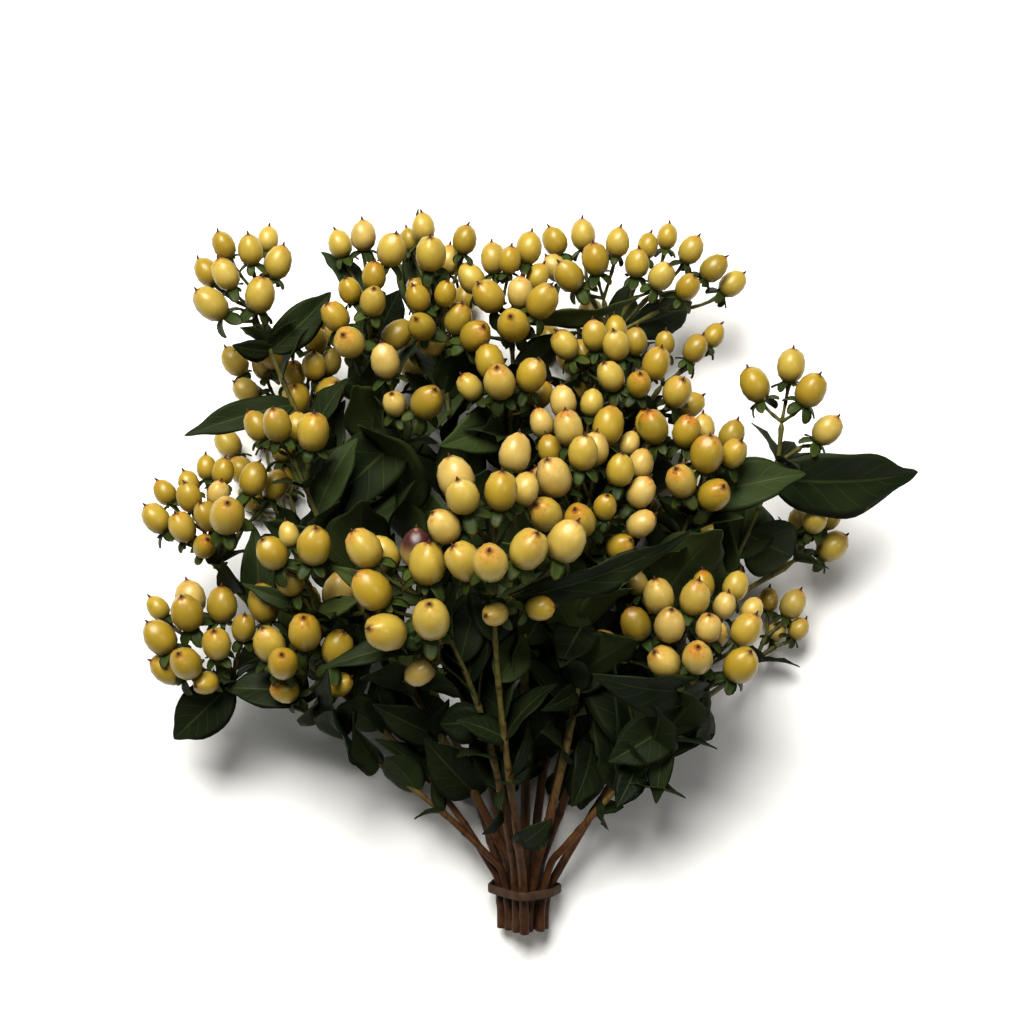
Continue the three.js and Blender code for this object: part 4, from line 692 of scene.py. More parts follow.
# %% Leaves low at the back
SNUG = {"room": 0.5, "sizes": (1, 0.75), "lifts": (0, 10, -10), "swings": (0, 8, -8), "rolls": (0, 40, -40)}
BACK_LEAVES = (
    ([737, 558, -2], [750, 494, -16], 60), ([560, 770, -6], [574, 806, -10], 36),
    ([544, 761, -17], [520, 800, -20], 36), ([500, 757, -12], [482, 800, -14], 34),
    ([487, 767, -12], [455, 795, -14], 30), ([330, 480, -16], [345, 400, -20], 44),
    ([328, 545, 20], [262, 520, 8], 36), ([285, 645, 5], [235, 668, 0], 36),
    ([340, 690, 5], [330, 640, 0], 40), ([390, 735, 0], [372, 680, -6], 40),
    ([411, 690, 8], [400, 640, 0], 40), ([517, 420, -5], [540, 345, -16], 40),
    ([448, 400, -10], [478, 340, -20], 40), ([372, 350, -12], [400, 290, -24], 34),
    ([434, 694, -19], [372, 690, -22], 40), ([588, 745, 0], [560, 790, -6], 40),
    ([646, 728, -5], [690, 690, -10], 40), ([693, 645, -4], [690, 580, -12], 44),
)
for base, tip, width in BACK_LEAVES:
    place_leaf(base, tip, width, 0, SNUG)
print(len(leaves) - solid_leaves, "of", len(BACK_LEAVES), "leaves at the back")

# %% More leaves along the stems
MORE_PAIRS = ((0.4, 24, 12), (0.5, 32, 16), (0.57, 42, 21), (0.63, 44, 22), (0.73, 44, 22), (0.79, 40, 19),
              (0.85, 34, 16), (0.92, 28, 13))  # (share of the stem, length, width)
LEAF_SEED = 11
FILL_REACH = 10
SURROUND_REACH = 34
OCTANTS = 8
ANGLE_SPREAD = 0.3
FULL_SIZES, TRIED_SIZES = (0.85, 1.1), np.array([1, 0.75, 0.55])
solid_points = np.concatenate([ball_at, *taken])


def fills(leaf):
    """Whether a leaf only fills the bunch: each part of it is near something that the plain solids have, or
    has parts of them round it in nearly all of the eight octants."""
    samples = samples_of(leaf, BLADE_SAMPLES)
    away = solid_points - samples[:, None]
    far = np.linalg.norm(away, axis=-1)
    octant = (away > 0) @ np.array([1, 2, 4])
    near = far < SURROUND_REACH
    round_it = sum((near & (octant == k)).any(1).astype(int) for k in range(OCTANTS))
    return bool(((far.min(1) < FILL_REACH) | (round_it >= OCTANTS - 1)).all())


rng = np.random.default_rng(LEAF_SEED)
for s in range(len(stems)):
    for k, (at, length, width) in enumerate(MORE_PAIRS):
        for half_turn in (0, math.pi):
            spread = rng.uniform(-ANGLE_SPREAD, ANGLE_SPREAD)
            angle = half_turn + s * PAIR_TURN + (k + 1) * math.pi / 2 + spread
            for size in rng.uniform(*FULL_SIZES) * TRIED_SIZES:
                leaf = stem_leaf(s, at, angle, length * size, width * size, SNUG)
                if leaf and fills(leaf):
                    keep(leaf, s)
                    break
print(len(leaves) - solid_leaves, "leaves more than the plain solids have")

# %% Bracts where the heads fork
BRACT_LENGTH = 17
BRACT_WIDTH = 6.5
BRACT_ROOT = 0.4
BRACTS_PER_FORK = 4
BRACT_SPREAD, BRACT_SLOPES, BRACT_SIZES = 0.5, (0.2, 0.9), (0.7, 1.15)
BRACT_WAYS = {"room": 0.3, "sizes": (1, 0.7), "lifts": (0, 5, -5), "swings": (0, 5, -5),
              "rolls": (0, 40, -40)}
stem_leaves = len(leaves)
for s, stem in enumerate(stems):
    own_berries = (owner == s) & (kind == BERRY)
    for fork in sorted({fork for fork, knot in stem["twigs"]}):
        knots = [knot for start, knot in stem["twigs"] if start == fork]
        along = unit(free[knots].mean(0) - free[fork])
        across = unit(np.cross(along, FRONT))
        for k in range(BRACTS_PER_FORK):
            out = turned(across, along, k * math.pi / 2 + rng.uniform(-BRACT_SPREAD, BRACT_SPREAD))
            chord = unit(out + along * rng.uniform(*BRACT_SLOPES))
            size = rng.uniform(*BRACT_SIZES)
            root = free[fork] + out * BRACT_ROOT
            keep(settle_leaf(root, root + chord * BRACT_LENGTH * size, BRACT_WIDTH * size, along, 0,
                             owner != s, own_berries, others_of(s), BRACT_WAYS), s)
print(len(leaves) - stem_leaves, "bracts")

# %% [markdown]
# ## One way to build every piece
# Berries, sepals, twigs, stems and leaves are all skins: rings of points, one after another, joined round
# and closed at both ends. So one function turns an array of rings into a mesh, whatever the form, and only
# the formula for the rings differs. The points are worked out for all berries or all leaves at once.

# %% From rings to a mesh
def skin_faces(count, rows, columns):
    """Corner numbers of the faces of several skins: a quad between each two neighbours on two rings, and
    one face over each end ring. Rings are counted anticlockwise as seen from where they lead to."""
    row, column = np.meshgrid(np.arange(rows - 1), np.arange(columns), indexing="ij")
    here = row * columns + column
    beside = row * columns + (column + 1) % columns
    quads = np.stack([here, beside, beside + columns, here + columns], -1).reshape(-1, 4)
    ends = np.concatenate([np.arange(columns)[::-1], (rows - 1) * columns + np.arange(columns)])
    first = np.arange(count)[:, None] * rows * columns
    corners = np.concatenate([(quads.ravel() + first).ravel(), (ends + first).ravel()])
    return corners, np.repeat([4, columns], [len(quads) * count, 2 * count])


def add_object(name, data):
    """A new object of the scene that shows a mesh, a lamp or a camera."""
    made = bpy.data.objects.new(name, data)
    bpy.context.scene.collection.objects.link(made)
    return made


def finish_piece(name, mesh, looks):
    """A smooth piece of the bunch from a mesh and its material."""
    mesh.polygons.foreach_set("use_smooth", np.ones(len(mesh.polygons), bool))
    mesh.materials.append(looks)
    piece = add_object(name, mesh)
    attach(piece, "root")
    return piece


def build_piece(name, skins, looks):
    """A piece made of several batches of skins. Each batch is (points in millimetres, shaped skins x rows x
    columns x 3, and values at those points by name). Points below the table are pressed up onto it."""
    corners, sizes, points, values, first = [], [], [], {}, 0
    for rings, notes in skins:
        count, rows, columns = rings.shape[:3]
        batch, lengths = skin_faces(count, rows, columns)
        corners.append(batch + first)
        sizes.append(lengths)
        points.append(rings.reshape(-1, 3))
        for key, value in notes.items():
            values.setdefault(key, []).append(np.broadcast_to(value, (count, rows, columns)).ravel())
        first += count * rows * columns
    points = np.concatenate(points) * MILLIMETRE
    points[:, 2] = np.maximum(points[:, 2], 0)
    corners, sizes = np.concatenate(corners), np.concatenate(sizes)
    mesh = bpy.data.meshes.new(name)
    mesh.vertices.add(len(points))
    mesh.vertices.foreach_set("co", points.ravel())
    mesh.loops.add(len(corners))
    mesh.loops.foreach_set("vertex_index", corners.astype(np.int32))
    mesh.polygons.add(len(sizes))
    mesh.polygons.foreach_set("loop_start", (np.cumsum(sizes) - sizes).astype(np.int32))
    for key, value in values.items():
        note = mesh.attributes.new(key, "FLOAT", "POINT")
        note.data.foreach_set("value", np.concatenate(value).astype(np.float32))
    mesh.update(calc_edges=True)
    mesh.validate()
    return finish_piece(name, mesh, looks)


def square_to(directions, guide=ALONG):
    """Two directions square to each other and to each given one, which together turn anticlockwise."""
    e1 = unit(guide - directions * (directions @ guide)[..., None])
    return e1, np.cross(directions, e1)


NO_TWIG = np.array([0.31, -0.83, 0.46])  # a direction that no twig runs in


def tubes(paths, radii, sides):
    """Round skins along paths shaped tubes x points x 3: a ring at each point, square to the line between
    its neighbours, with its radius."""
    step = np.gradient(paths, axis=1)
    e1, e2 = square_to(unit(step), NO_TWIG)
    angle = np.arange(sides) * 2 * math.pi / sides
    round_it = e1[:, :, None] * np.cos(angle)[:, None] + e2[:, :, None] * np.sin(angle)[:, None]
    return paths[:, :, None] + round_it * np.broadcast_to(radii, paths.shape[:2])[..., None, None]


# %% [markdown]
# ## Materials from small, shared effects
# Nothing here is one flat colour. A berry is creamy, darker towards its foot, partly a duller foot and partly
# painted shade on its lower half, with an orange blush round its dry tip. A leaf has a pale midrib, arching
# side veins and a light rim. Wood goes from red-brown bark to green twigs. Fine mottling is on all of them,
# so it is a node group that each material places with its own values. Where a pattern follows the form, the
# mesh carries values at its points, such as how far up a berry each point is.

# %% Values that can be reckoned with
def wire(tree, kind, inputs=None, **settings):
    """A new node with its settings, whose inputs are numbers, vectors, colours or values of other nodes."""
    node = tree.nodes.new(kind)
    for key, value in settings.items():
        setattr(node, key, value)
    for key, value in (inputs or {}).items():
        if isinstance(value, Value):
            tree.links.new(value.socket, node.inputs[key])
        else:
            node.inputs[key].default_value = value
    return node


class Value:
    """What a node puts out. A sign between two values, or a value and a number, makes the math node for
    it."""

    def __init__(self, socket):
        self.socket, self.tree = socket, socket.id_data

    def maths(self, operation, *others):
        inputs = dict(enumerate((self, *others)))
        return Value(wire(self.tree, "ShaderNodeMath", inputs, operation=operation).outputs[0])

    def __add__(self, other):
        return self.maths("ADD", other)

    def __sub__(self, other):
        return self.maths("SUBTRACT", other)

    def __mul__(self, other):
        return self.maths("MULTIPLY", other)

    def __abs__(self):
        return self.maths("ABSOLUTE")


# %% Colours, steps and noise
def linear(colour):
    """A colour given as on a screen, 0 to 255, as the linear values that shaders count in."""
    share = np.array(colour) / 255
    curve = np.where(share <= 0.04045, share / 12.92, ((share + 0.055) / 1.055) ** 2.4)
    return (*curve.tolist(), 1.0)


def blend(share, low, high):
    """The colour between two, by a share. Each is a value, or is given as on a screen."""
    low, high = (colour if isinstance(colour, Value) else linear(colour) for colour in (low, high))
    return Value(wire(share.tree, "ShaderNodeMix", {0: share, 6: low, 7: high}, data_type="RGBA").outputs[2])


def ramp(value, *stops):
    """The colour at a value on a scale that runs through stops (value, red, green, blue)."""
    node = wire(value.tree, "ShaderNodeValToRGB", {0: value})
    points = node.color_ramp.elements
    while len(points) < len(stops):
        points.new(0.5)
    for point, (at, *colour) in zip(points, stops):
        point.position = at
        point.color = linear(colour)
    return Value(node.outputs[0])


def smooth_step(value, low, high):
    """0 below low, 1 above high, and an S between them."""
    inputs = {0: value, 1: low, 2: high}
    return Value(wire(value.tree, "ShaderNodeMapRange", inputs, interpolation_type="SMOOTHSTEP").outputs[0])


def noted(tree, *names):
    """The values that the mesh carries at its points under these names."""
    return [Value(wire(tree, "ShaderNodeAttribute", attribute_name=name).outputs["Fac"]) for name in names]


def where(tree):
    """The place of each point in the piece's own coordinates."""
    return Value(wire(tree, "ShaderNodeTexCoord").outputs["Object"])


def noise(vector, scale, detail):
    """Noise with so many patches per metre of the vector, and finer ones on them by the detail."""
    inputs = {"Vector": vector, "Scale": scale, "Detail": detail}
    return Value(wire(vector.tree, "ShaderNodeTexNoise", inputs).outputs["Fac"])


# %% The mottling that all materials share
def make_mottling():
    """A node group: noise in Object coordinates, put out as a mask and as a finer height."""
    group = bpy.data.node_groups.new("plant_mottling", "ShaderNodeTree")
    for name in ("Patches per metre", "Grains per metre"):
        group.interface.new_socket(name, in_out="INPUT", socket_type="NodeSocketFloat")
    for name in ("Mask", "Height"):
        group.interface.new_socket(name, in_out="OUTPUT", socket_type="NodeSocketFloat")
    start = group.nodes.new("NodeGroupInput").outputs
    spot = where(group)
    mask = smooth_step(noise(spot, Value(start[0]), 3.0), 0.3, 0.7)
    wire(group, "NodeGroupOutput", {0: mask, 1: noise(spot, Value(start[1]), 2.0)})
    return group


MOTTLING = make_mottling()


def mottling(tree, patches, grains):
    """The group's mask and height, with so many patches and grains per metre."""
    node = wire(tree, "ShaderNodeGroup", {0: patches, 1: grains}, node_tree=MOTTLING)
    return Value(node.outputs[0]), Value(node.outputs[1])


# %% Starting and finishing a material
def new_material(name, **constants):
    """A material, its nodes and its shader, with constants set on the shader's own sockets."""
    material = bpy.data.materials.new(name)
    material.use_nodes = True
    shader = material.node_tree.nodes["Principled BSDF"]
    for key, value in constants.items():
        shader.inputs[key.replace("_", " ")].default_value = value
    return material, material.node_tree, shader


def link(shader, name, value):
    value.tree.links.new(value.socket, shader.inputs[name])


def bump(shader, height, strength, distance):
    """A relief of so many metres, from a height between 0 and 1."""
    inputs = {"Height": height, "Strength": strength, "Distance": distance}
    link(shader, "Normal", Value(wire(height.tree, "ShaderNodeBump", inputs).outputs[0]))


# %% Berry skin
def berry_skin():
    """Greenish yellow to peach by the berry's own tone, darker towards the foot, partly as a duller foot and
    partly as painted shade on the lower half, with an orange-brown ring round the tip and speckles near it,
    and nearly black on the dry style. A tone past 1 turns the top wine red."""
    material, tree, shader = new_material(
        "berry_skin", Specular_IOR_Level=0.4, Coat_Roughness=0.3, Subsurface_Weight=0.1,
        Subsurface_Scale=0.004, Subsurface_Radius=(1.0, 0.65, 0.2))
    height, tone, blush = noted(tree, "height", "tone", "blush")
    mask, grain = mottling(tree, 120.0, 900.0)
    flesh = ramp(tone, (0.0, 154, 134, 46), (0.25, 166, 141, 41), (0.5, 178, 154, 55), (0.75, 191, 169, 83),
                 (1.0, 197, 172, 100))
    flesh = blend(mask * 0.35, flesh, (142, 114, 38))
    # Painted shade: each berry's colour darkens towards its foot, standing in for the shade on its lower half
    # as well as a duller foot.
    foot = smooth_step(height, 0.55, 0.0) * 0.75
    flesh = blend(foot, flesh, (108, 93, 40))
    wine = smooth_step(tone, 1.1, 1.9) * smooth_step(height, 0.2, 0.75)
    flesh = blend(wine, flesh, (70, 28, 30))
    warm = smooth_step(height, 0.75, 0.99) * (blush + 0.05) * (mask + 0.5)
    flesh = blend(warm.maths("MINIMUM", 0.85), flesh, (188, 126, 42))
    speckle = smooth_step(grain, 0.56, 0.64) * smooth_step(height, 0.72, 1.0) * (blush * 0.7 + 0.15)
    flesh = blend(speckle, flesh, (124, 62, 20))
    ring = smooth_step(height, 0.955, 0.99) * 0.75
    flesh = blend(ring, flesh, (118, 74, 30))
    dry = smooth_step(height, 0.986, 0.996)
    link(shader, "Base Color", blend(dry, flesh, (66, 38, 18)))
    link(shader, "Coat Weight", smooth_step(height, 0.99, 0.95) * 0.38)
    link(shader, "Roughness", grain * 0.15 + 0.36 + dry * 0.4)
    bump(shader, grain, 0.12, 0.0003)
    return material


# %% Leaf skin
VEIN_PAIRS = 6.5
VEIN_SWEEP = 1.7


def leaf_skin():
    """Dark green, lighter where tone is high, with a pale midrib and a thin pale rim. The side veins are
    lines of equal phase, which rises down the leaf and falls off to the sides, so they leave the midrib
    forward. The underside is paler and more even."""
    material, tree, shader = new_material("leaf_skin", Specular_IOR_Level=0.09)
    down, over, tone, under = noted(tree, "down_leaf", "over_leaf", "tone", "under")
    mask, grain = mottling(tree, 60.0, 1400.0)
    green = ramp(tone, (0.0, 18, 27, 14), (0.3, 36, 47, 25), (0.6, 52, 65, 35), (1.0, 98, 108, 58))
    green = blend(mask * 0.4, green, (48, 54, 25))
    green = blend(under, green, blend(tone, (45, 56, 30), (76, 88, 46)))
    side = abs(over)
    phase = down * VEIN_PAIRS - side * VEIN_SWEEP
    off = abs(phase.maths("FRACT") - 0.5)
    vein = smooth_step(off, 0.09, 0.0) * smooth_step(side, 0.97, 0.6)
    rib = smooth_step(side, 0.07, 0.015)
    green = blend((vein * 0.11).maths("MAXIMUM", rib * 0.3), green, (96, 108, 58))
    rim = smooth_step(side, 0.95, 0.998) * 0.25
    link(shader, "Base Color", blend(rim, green, (100, 98, 56)))
    link(shader, "Roughness", mask * 0.12 + 0.46 + under * 0.2)
    bump(shader, grain * 0.3 - vein.maths("MAXIMUM", rib), 0.3, 0.0004)
    return material


# %% Bark and green twigs
def bark():
    """Red-brown at the foot, tan further up and olive green on the youngest twigs, streaked along the stem,
    dark at the scars round its joints, and pale where it is cut across."""
    material, tree, shader = new_material("bark", Specular_IOR_Level=0.3)
    age, cut, scar, tone = noted(tree, "age", "cut", "scar", "tone")
    mask, grain = mottling(tree, 150.0, 1100.0)
    inputs = {"Vector": where(tree), "Scale": (900.0, 70.0, 900.0)}
    streaks = noise(Value(wire(tree, "ShaderNodeMapping", inputs).outputs[0]), 1.0, 3.0)
    wood = ramp(age, (0.0, 78, 86, 38), (0.25, 104, 102, 50), (0.5, 118, 106, 58), (0.72, 94, 58, 27),
                (1.0, 66, 33, 14))
    shade = ramp(age, (0.0, 52, 60, 24), (0.25, 66, 64, 30), (0.5, 72, 58, 30), (0.72, 52, 29, 13),
                 (1.0, 34, 16, 7))
    wood = blend(smooth_step(streaks, 0.45, 0.65) * 0.6 + tone * 0.3, wood, shade)
    wood = blend(mask * 0.2, wood, (126, 92, 48))
    wood = blend(scar * 0.75, wood, (44, 28, 16))
    link(shader, "Base Color", blend(cut, wood, (168, 142, 92)))
    link(shader, "Roughness", streaks * 0.3 + 0.4)
    bump(shader, streaks + grain * 0.5, 0.4, 0.0004)
    return material


# %% Sepals and the rubber band
def sepal_skin():
    """Olive green with brown-tinged ends."""
    material, tree, shader = new_material("sepal_skin", Specular_IOR_Level=0.2)
    down, tone = noted(tree, "down_leaf", "tone")
    mask, grain = mottling(tree, 200.0, 1500.0)
    green = blend(tone, (34, 50, 18), (68, 84, 32))
    green = blend(mask * 0.4, green, (58, 62, 28))
    link(shader, "Base Color", blend(smooth_step(down, 0.8, 1.0) * 0.4, green, (112, 84, 44)))
    link(shader, "Roughness", grain * 0.2 + 0.4)
    bump(shader, grain, 0.2, 0.0002)
    return material


def band_rubber():
    """Brown rubber, dulled and slightly dusty."""
    material, tree, shader = new_material("band_rubber", Specular_IOR_Level=0.35)
    mask, grain = mottling(tree, 250.0, 1800.0)
    link(shader, "Base Color", blend(mask, (58, 40, 26), (76, 54, 36)))
    link(shader, "Roughness", grain * 0.25 + 0.55)
    bump(shader, grain, 0.25, 0.0002)
    return material


BERRY_SKIN, LEAF_SKIN, BARK = berry_skin(), leaf_skin(), bark()
SEPAL_SKIN, BAND_RUBBER = sepal_skin(), band_rubber()
print(len(bpy.data.materials), "materials")

# %% [markdown]
# ## Berries
# A hypericum berry is a blunt egg that stands on five sepals, a little narrower at its foot, with the dried
# style left at its tip like a thorn. Its three chambers show as three shallow shoulders round the tip. A
# sphere would be too round and its poles would show. So an egg's profile is carried round the axis, the
# shoulders are added near the tip, and the same profile runs on into the style.

# %% The berry's profile
FULL_TURN = 6.28
BERRY_SIDES = 14
BODY_ANGLES = np.radians([24, 53, 81, 109, 137, 162])
BODY_BLUNTNESS = 0.84
BERRY_GIRTH = 0.478
TIP_GIRTH = 0.88
TIP_RISE = 1.015
SHOULDER = 0.06
SHOULDER_RISE = 0.025
UNEVEN = 0.012
STYLE_OUT = np.array([0.03, 1.0]) * STYLE_LENGTH * 0.9
STYLE_RADII = np.array([0.5, 0.2])
STYLE_LEAN = 0.35
BODY_HEIGHT, STYLE_HEIGHTS = 0.985, [0.992, 1.2]
BERRY_RISE = 0.5
BERRY_FRONT = 0.25


def berry_rings(centre, axis, width, tone, blush, rng):
    """Rings of all berries. Up the body, the height follows a half circle's cosine and the radius its sine
    to a power under 1, and most berries taper a little towards the tip. The three shoulders are a cosine of
    three times the angle round, and grow with the cube of the height. Two more rings are the style, which
    leans."""
    count = len(width)
    rise = (1 - np.cos(BODY_ANGLES)) / 2
    body = len(rise)
    height = np.append(rise, [TIP_RISE, TIP_RISE])
    beyond = np.append(np.zeros(body), STYLE_OUT)
    spike = np.append(np.zeros(body), STYLE_RADII)
    lengths = width * BERRY_LENGTH_RATIO * rng.uniform(0.98, 1.06, count)
    taper = rng.uniform(-0.02, 0.1, (count, 1)) * np.cos(BODY_ANGLES)
    girth = BERRY_GIRTH * np.sin(BODY_ANGLES) ** BODY_BLUNTNESS * (1 + taper)
    girth[:, -1] *= TIP_GIRTH
    girth = np.concatenate([girth, np.zeros((count, 2))], axis=1)
    angle = np.arange(BERRY_SIDES) * 2 * math.pi / BERRY_SIDES
    turn = rng.uniform(0, FULL_TURN, (count, 1, 1))
    three = np.cos(3 * angle + turn) * np.append(rise**3, [0, 0])[:, None]
    uneven = UNEVEN * np.cos(2 * angle + turn * 1.7)
    lift = three * (SHOULDER_RISE * width[:, None, None])
    up = ((height - 0.5) * lengths[:, None] + beyond)[..., None] + lift
    out = (girth * width[:, None] + spike)[..., None] * (1 + SHOULDER * three + uneven)
    e1, e2 = square_to(axis)
    ring = e1[:, None] * np.cos(angle)[:, None] + e2[:, None] * np.sin(angle)[:, None]
    lean = sum(e * rng.uniform(-STYLE_LEAN, STYLE_LEAN, (count, 1)) for e in (e1, e2))
    points = centre[:, None, None] + axis[:, None, None] * up[..., None] + ring[:, None] * out[..., None]
    points = points + (lean[:, None] * beyond[:, None])[:, :, None]
    heights = np.append(rise * BODY_HEIGHT, STYLE_HEIGHTS)[None, :, None]
    return points, {"height": heights, "tone": tone[:, None, None], "blush": blush[:, None, None]}


def berry_axes(spots, knots):
    """A berry looks outward on its stalk, and turns up towards the crown and the light."""
    return unit(unit(spots - knots) + ALONG * BERRY_RISE + FRONT * BERRY_FRONT)


# %% [markdown]
# ## Sepals
# Five blunt little leaves stand under each berry and bend back towards the stalk. Each is a skin like a
# leaf's blade, carried along an arc that starts level and ends pointing down. They are worked out as one
# array for all berries.

# %% The sepals' form
SEPALS = 5
SEPAL_LENGTH = 7.8
SEPAL_WIDTH = 4.4
SEPAL_THICKNESS = 0.35
MEAN_BERRY = 11
SEPAL_STATIONS = np.array([0.0, 0.22, 0.45, 0.68, 0.88, 1.0])
SEPAL_OUTLINE = np.array([0.35, 0.72, 0.96, 1.0, 0.72, 0.22])
SEPAL_ACROSS = np.array([1.0, 0.45, -0.45, -1.0, -0.45, 0.45])
SEPAL_FACES = np.array([0.0, 1.0, 1.0, 0.0, -1.0, -1.0])
SEPAL_CUP, SEPAL_DROP = 0.5, 0.2
FIRST_SLOPES, LAST_SLOPES = (-15, 20), (-95, -35)
ARC_STEPS = 25
BERRY_REACH = 0.52
SEPAL_ROOM = 0.3
SHORTENED = 0.5


def sepal_rings(foot, axis, width, first_berry, rng):
    """Each sepal's middle line turns evenly from its first slope to its last, and its half width is a blunt
    oval that is broadest past the middle. Its section is a flat hexagon, cupped by raising the edges. A
    sepal that would run into another berry stays half as long."""
    count = len(foot)
    e1, e2 = square_to(axis)
    fifths = np.arange(SEPALS) * 2 * math.pi / SEPALS
    spin = rng.uniform(0, FULL_TURN, (count, 1)) + fifths + rng.uniform(-0.2, 0.2, (count, SEPALS))
    out = e1[:, None] * np.cos(spin)[..., None] + e2[:, None] * np.sin(spin)[..., None]
    side = np.cross(axis[:, None], out)
    size = (width / MEAN_BERRY)[:, None] * rng.uniform(0.8, 1.12, (count, SEPALS)) * SEPAL_LENGTH
    first = np.radians(rng.uniform(*FIRST_SLOPES, (count, SEPALS)))
    last = np.radians(rng.uniform(*LAST_SLOPES, (count, SEPALS)))
    slope = first[..., None] + (last - first)[..., None] * np.linspace(0, 1, ARC_STEPS)
    run = np.cumsum(np.cos(slope), -1) / ARC_STEPS
    drop = np.cumsum(np.sin(slope), -1) / ARC_STEPS
    pick = np.round(SEPAL_STATIONS * (ARC_STEPS - 1)).astype(int)
    run, drop, slope = run[..., pick], drop[..., pick], slope[..., pick]
    reach = out[:, :, None] * run[..., None] + axis[:, None, None] * drop[..., None]
    line = foot[:, None, None] + reach * size[..., None, None]
    gap = np.linalg.norm(line[..., None, :] - all_spots, axis=-1) - all_widths * BERRY_REACH
    gap[np.arange(count), :, :, first_berry + np.arange(count)] = np.inf
    size = np.where(gap.min((2, 3)) < SEPAL_ROOM, size * SHORTENED, size)
    line = foot[:, None, None] + reach * size[..., None, None]
    normal = axis[:, None, None] * np.cos(slope)[..., None] - out[:, :, None] * np.sin(slope)[..., None]
    half = SEPAL_OUTLINE * SEPAL_WIDTH / SEPAL_LENGTH / 2 * size[..., None]
    lift = SEPAL_FACES * SEPAL_THICKNESS / 2 + SEPAL_CUP * np.abs(SEPAL_ACROSS) ** 2 - SEPAL_DROP
    rings = line[..., None, :] + side[:, :, None, None] * (half[..., None] * SEPAL_ACROSS)[..., None] * -1
    rings = rings + normal[..., None, :] * lift[:, None]
    notes = {
        "down_leaf": SEPAL_STATIONS[None, :, None],
        "tone": np.repeat(rng.uniform(0, 1, count), SEPALS)[:, None, None],
    }
    return rings.reshape(count * SEPALS, len(SEPAL_STATIONS), len(SEPAL_ACROSS), 3), notes


# %% [markdown]
# ## Wood
# A stem is a smooth rod that thickens at each joint, where a pair of leaves sits, and isn't quite round: it
# has two weak ridges. Branches, twigs and the berries' stalks are thinner rods, and a stalk flares where
# the berry sits on it. Curves with a bevel would do, but a mesh can carry the age of the wood at each
# point.

# %% A smooth course
PATH_PARTS = 5


def smooth_path(points, parts):
    """Points between the given ones: on each stretch, the Catmull-Rom cubic through its four neighbours."""
    padded = np.concatenate([[2 * points[0] - points[1]], points, [2 * points[-1] - points[-2]]])
    p0, p1, p2, p3 = padded[:-3], padded[1:-2], padded[2:-1], padded[3:]
    t = (np.arange(parts) / parts)[:, None, None]
    curve = 0.5 * (2 * p1 + (p2 - p0) * t + (2 * p0 - 5 * p1 + 4 * p2 - p3) * t**2
                   + (3 * p1 - p0 - 3 * p2 + p3) * t**3)
    return np.concatenate([curve.transpose(1, 0, 2).reshape(-1, 3), points[-1:]])


def bell(distance, width):
    """A bell curve: 1 at no distance, and falling off within about a width."""
    return np.exp(-((distance / width) ** 2))


# %% Stems
STEM_SIDES = 12
JOINT_SPACING = 30
JOINT_SWELL, JOINT_WIDTH, BETWEEN_JOINTS = 0.18, 1.3, 0.96
LEAF_SWELL, LEAF_SWELL_WIDTH = 0.22, 2.2
SCAR_OFF, SCAR_WIDTH = 0.8, 0.7
RIDGE = 0.06
OLDEST_BARK, BARK_LENGTH, YOUNGEST_BARK = 1.12, 110, 0.22
EDGE_PART, EDGE_SHARE = 0.06, 0.93  # the bevel of the cut end
KNOB_SHARE, CAP_LENGTH, CAP_RADIUS = 0.8, 1.0, 0.35  # the rounded end under the head


def stem_rings(s, rng):
    """A stem's rings: its radius falls from foot to head, sooner on the outer stems, and swells where
    leaves sit, and every ring has two weak ridges. The two rings at each end make a crisp edge."""
    chain = free[stems[s]["chain"]].copy()
    chain[4:-1] = (chain[3:-2] + 2 * chain[4:-1] + chain[5:]) / 4
    path = smooth_path(chain, PATH_PARTS)
    run = np.concatenate([[0], np.cumsum(np.linalg.norm(np.diff(path, axis=0), axis=1))])
    loss, power = STEMS[s]["slimming"]
    radii = stem_radius(run / run[-1]) * (1 - loss * (run / run[-1]) ** power)
    roots = np.array([leaf["base"] for leaf in leaves if leaf["stem"] == s])
    near = np.linalg.norm(path[:, None] - roots[None], axis=-1).min(1)
    radii = radii * (1 + LEAF_SWELL * bell(near, LEAF_SWELL_WIDTH))
    joint = (run + rng.uniform(0, JOINT_SPACING)) % JOINT_SPACING - JOINT_SPACING / 2
    radii = radii * (BETWEEN_JOINTS + JOINT_SWELL * bell(joint, JOINT_WIDTH))
    scar = bell(joint - SCAR_OFF, SCAR_WIDTH)
    radii[-1] = KNOB_RADIUS * KNOB_SHARE
    path = np.concatenate([path[:1], path[:1] + (path[1] - path[0]) * EDGE_PART, path[1:],
                           path[-1:] + unit(path[-1] - path[-2]) * CAP_LENGTH])
    radii = np.concatenate([[radii[0] * EDGE_SHARE, radii[0]], radii[1:], [CAP_RADIUS]])
    run = np.concatenate([[0, 0.1], run[1:], run[-1:]])
    scar = np.concatenate([[0, 0], scar[1:], [0]])
    rings = tubes(path[None], radii[None], STEM_SIDES)
    ridge = 1 + RIDGE * np.cos(2 * (np.arange(STEM_SIDES) * 2 * math.pi / STEM_SIDES))
    rings = path[None, :, None] + (rings - path[None, :, None]) * ridge[:, None]
    age = np.clip(OLDEST_BARK - run / BARK_LENGTH, YOUNGEST_BARK, 1)
    cut = (np.arange(len(run)) == 0).astype(float)
    notes = {"age": age[None, :, None], "cut": cut[None, :, None], "scar": scar[None, :, None]}
    return rings, {**notes, "tone": rng.uniform(0, 1)}


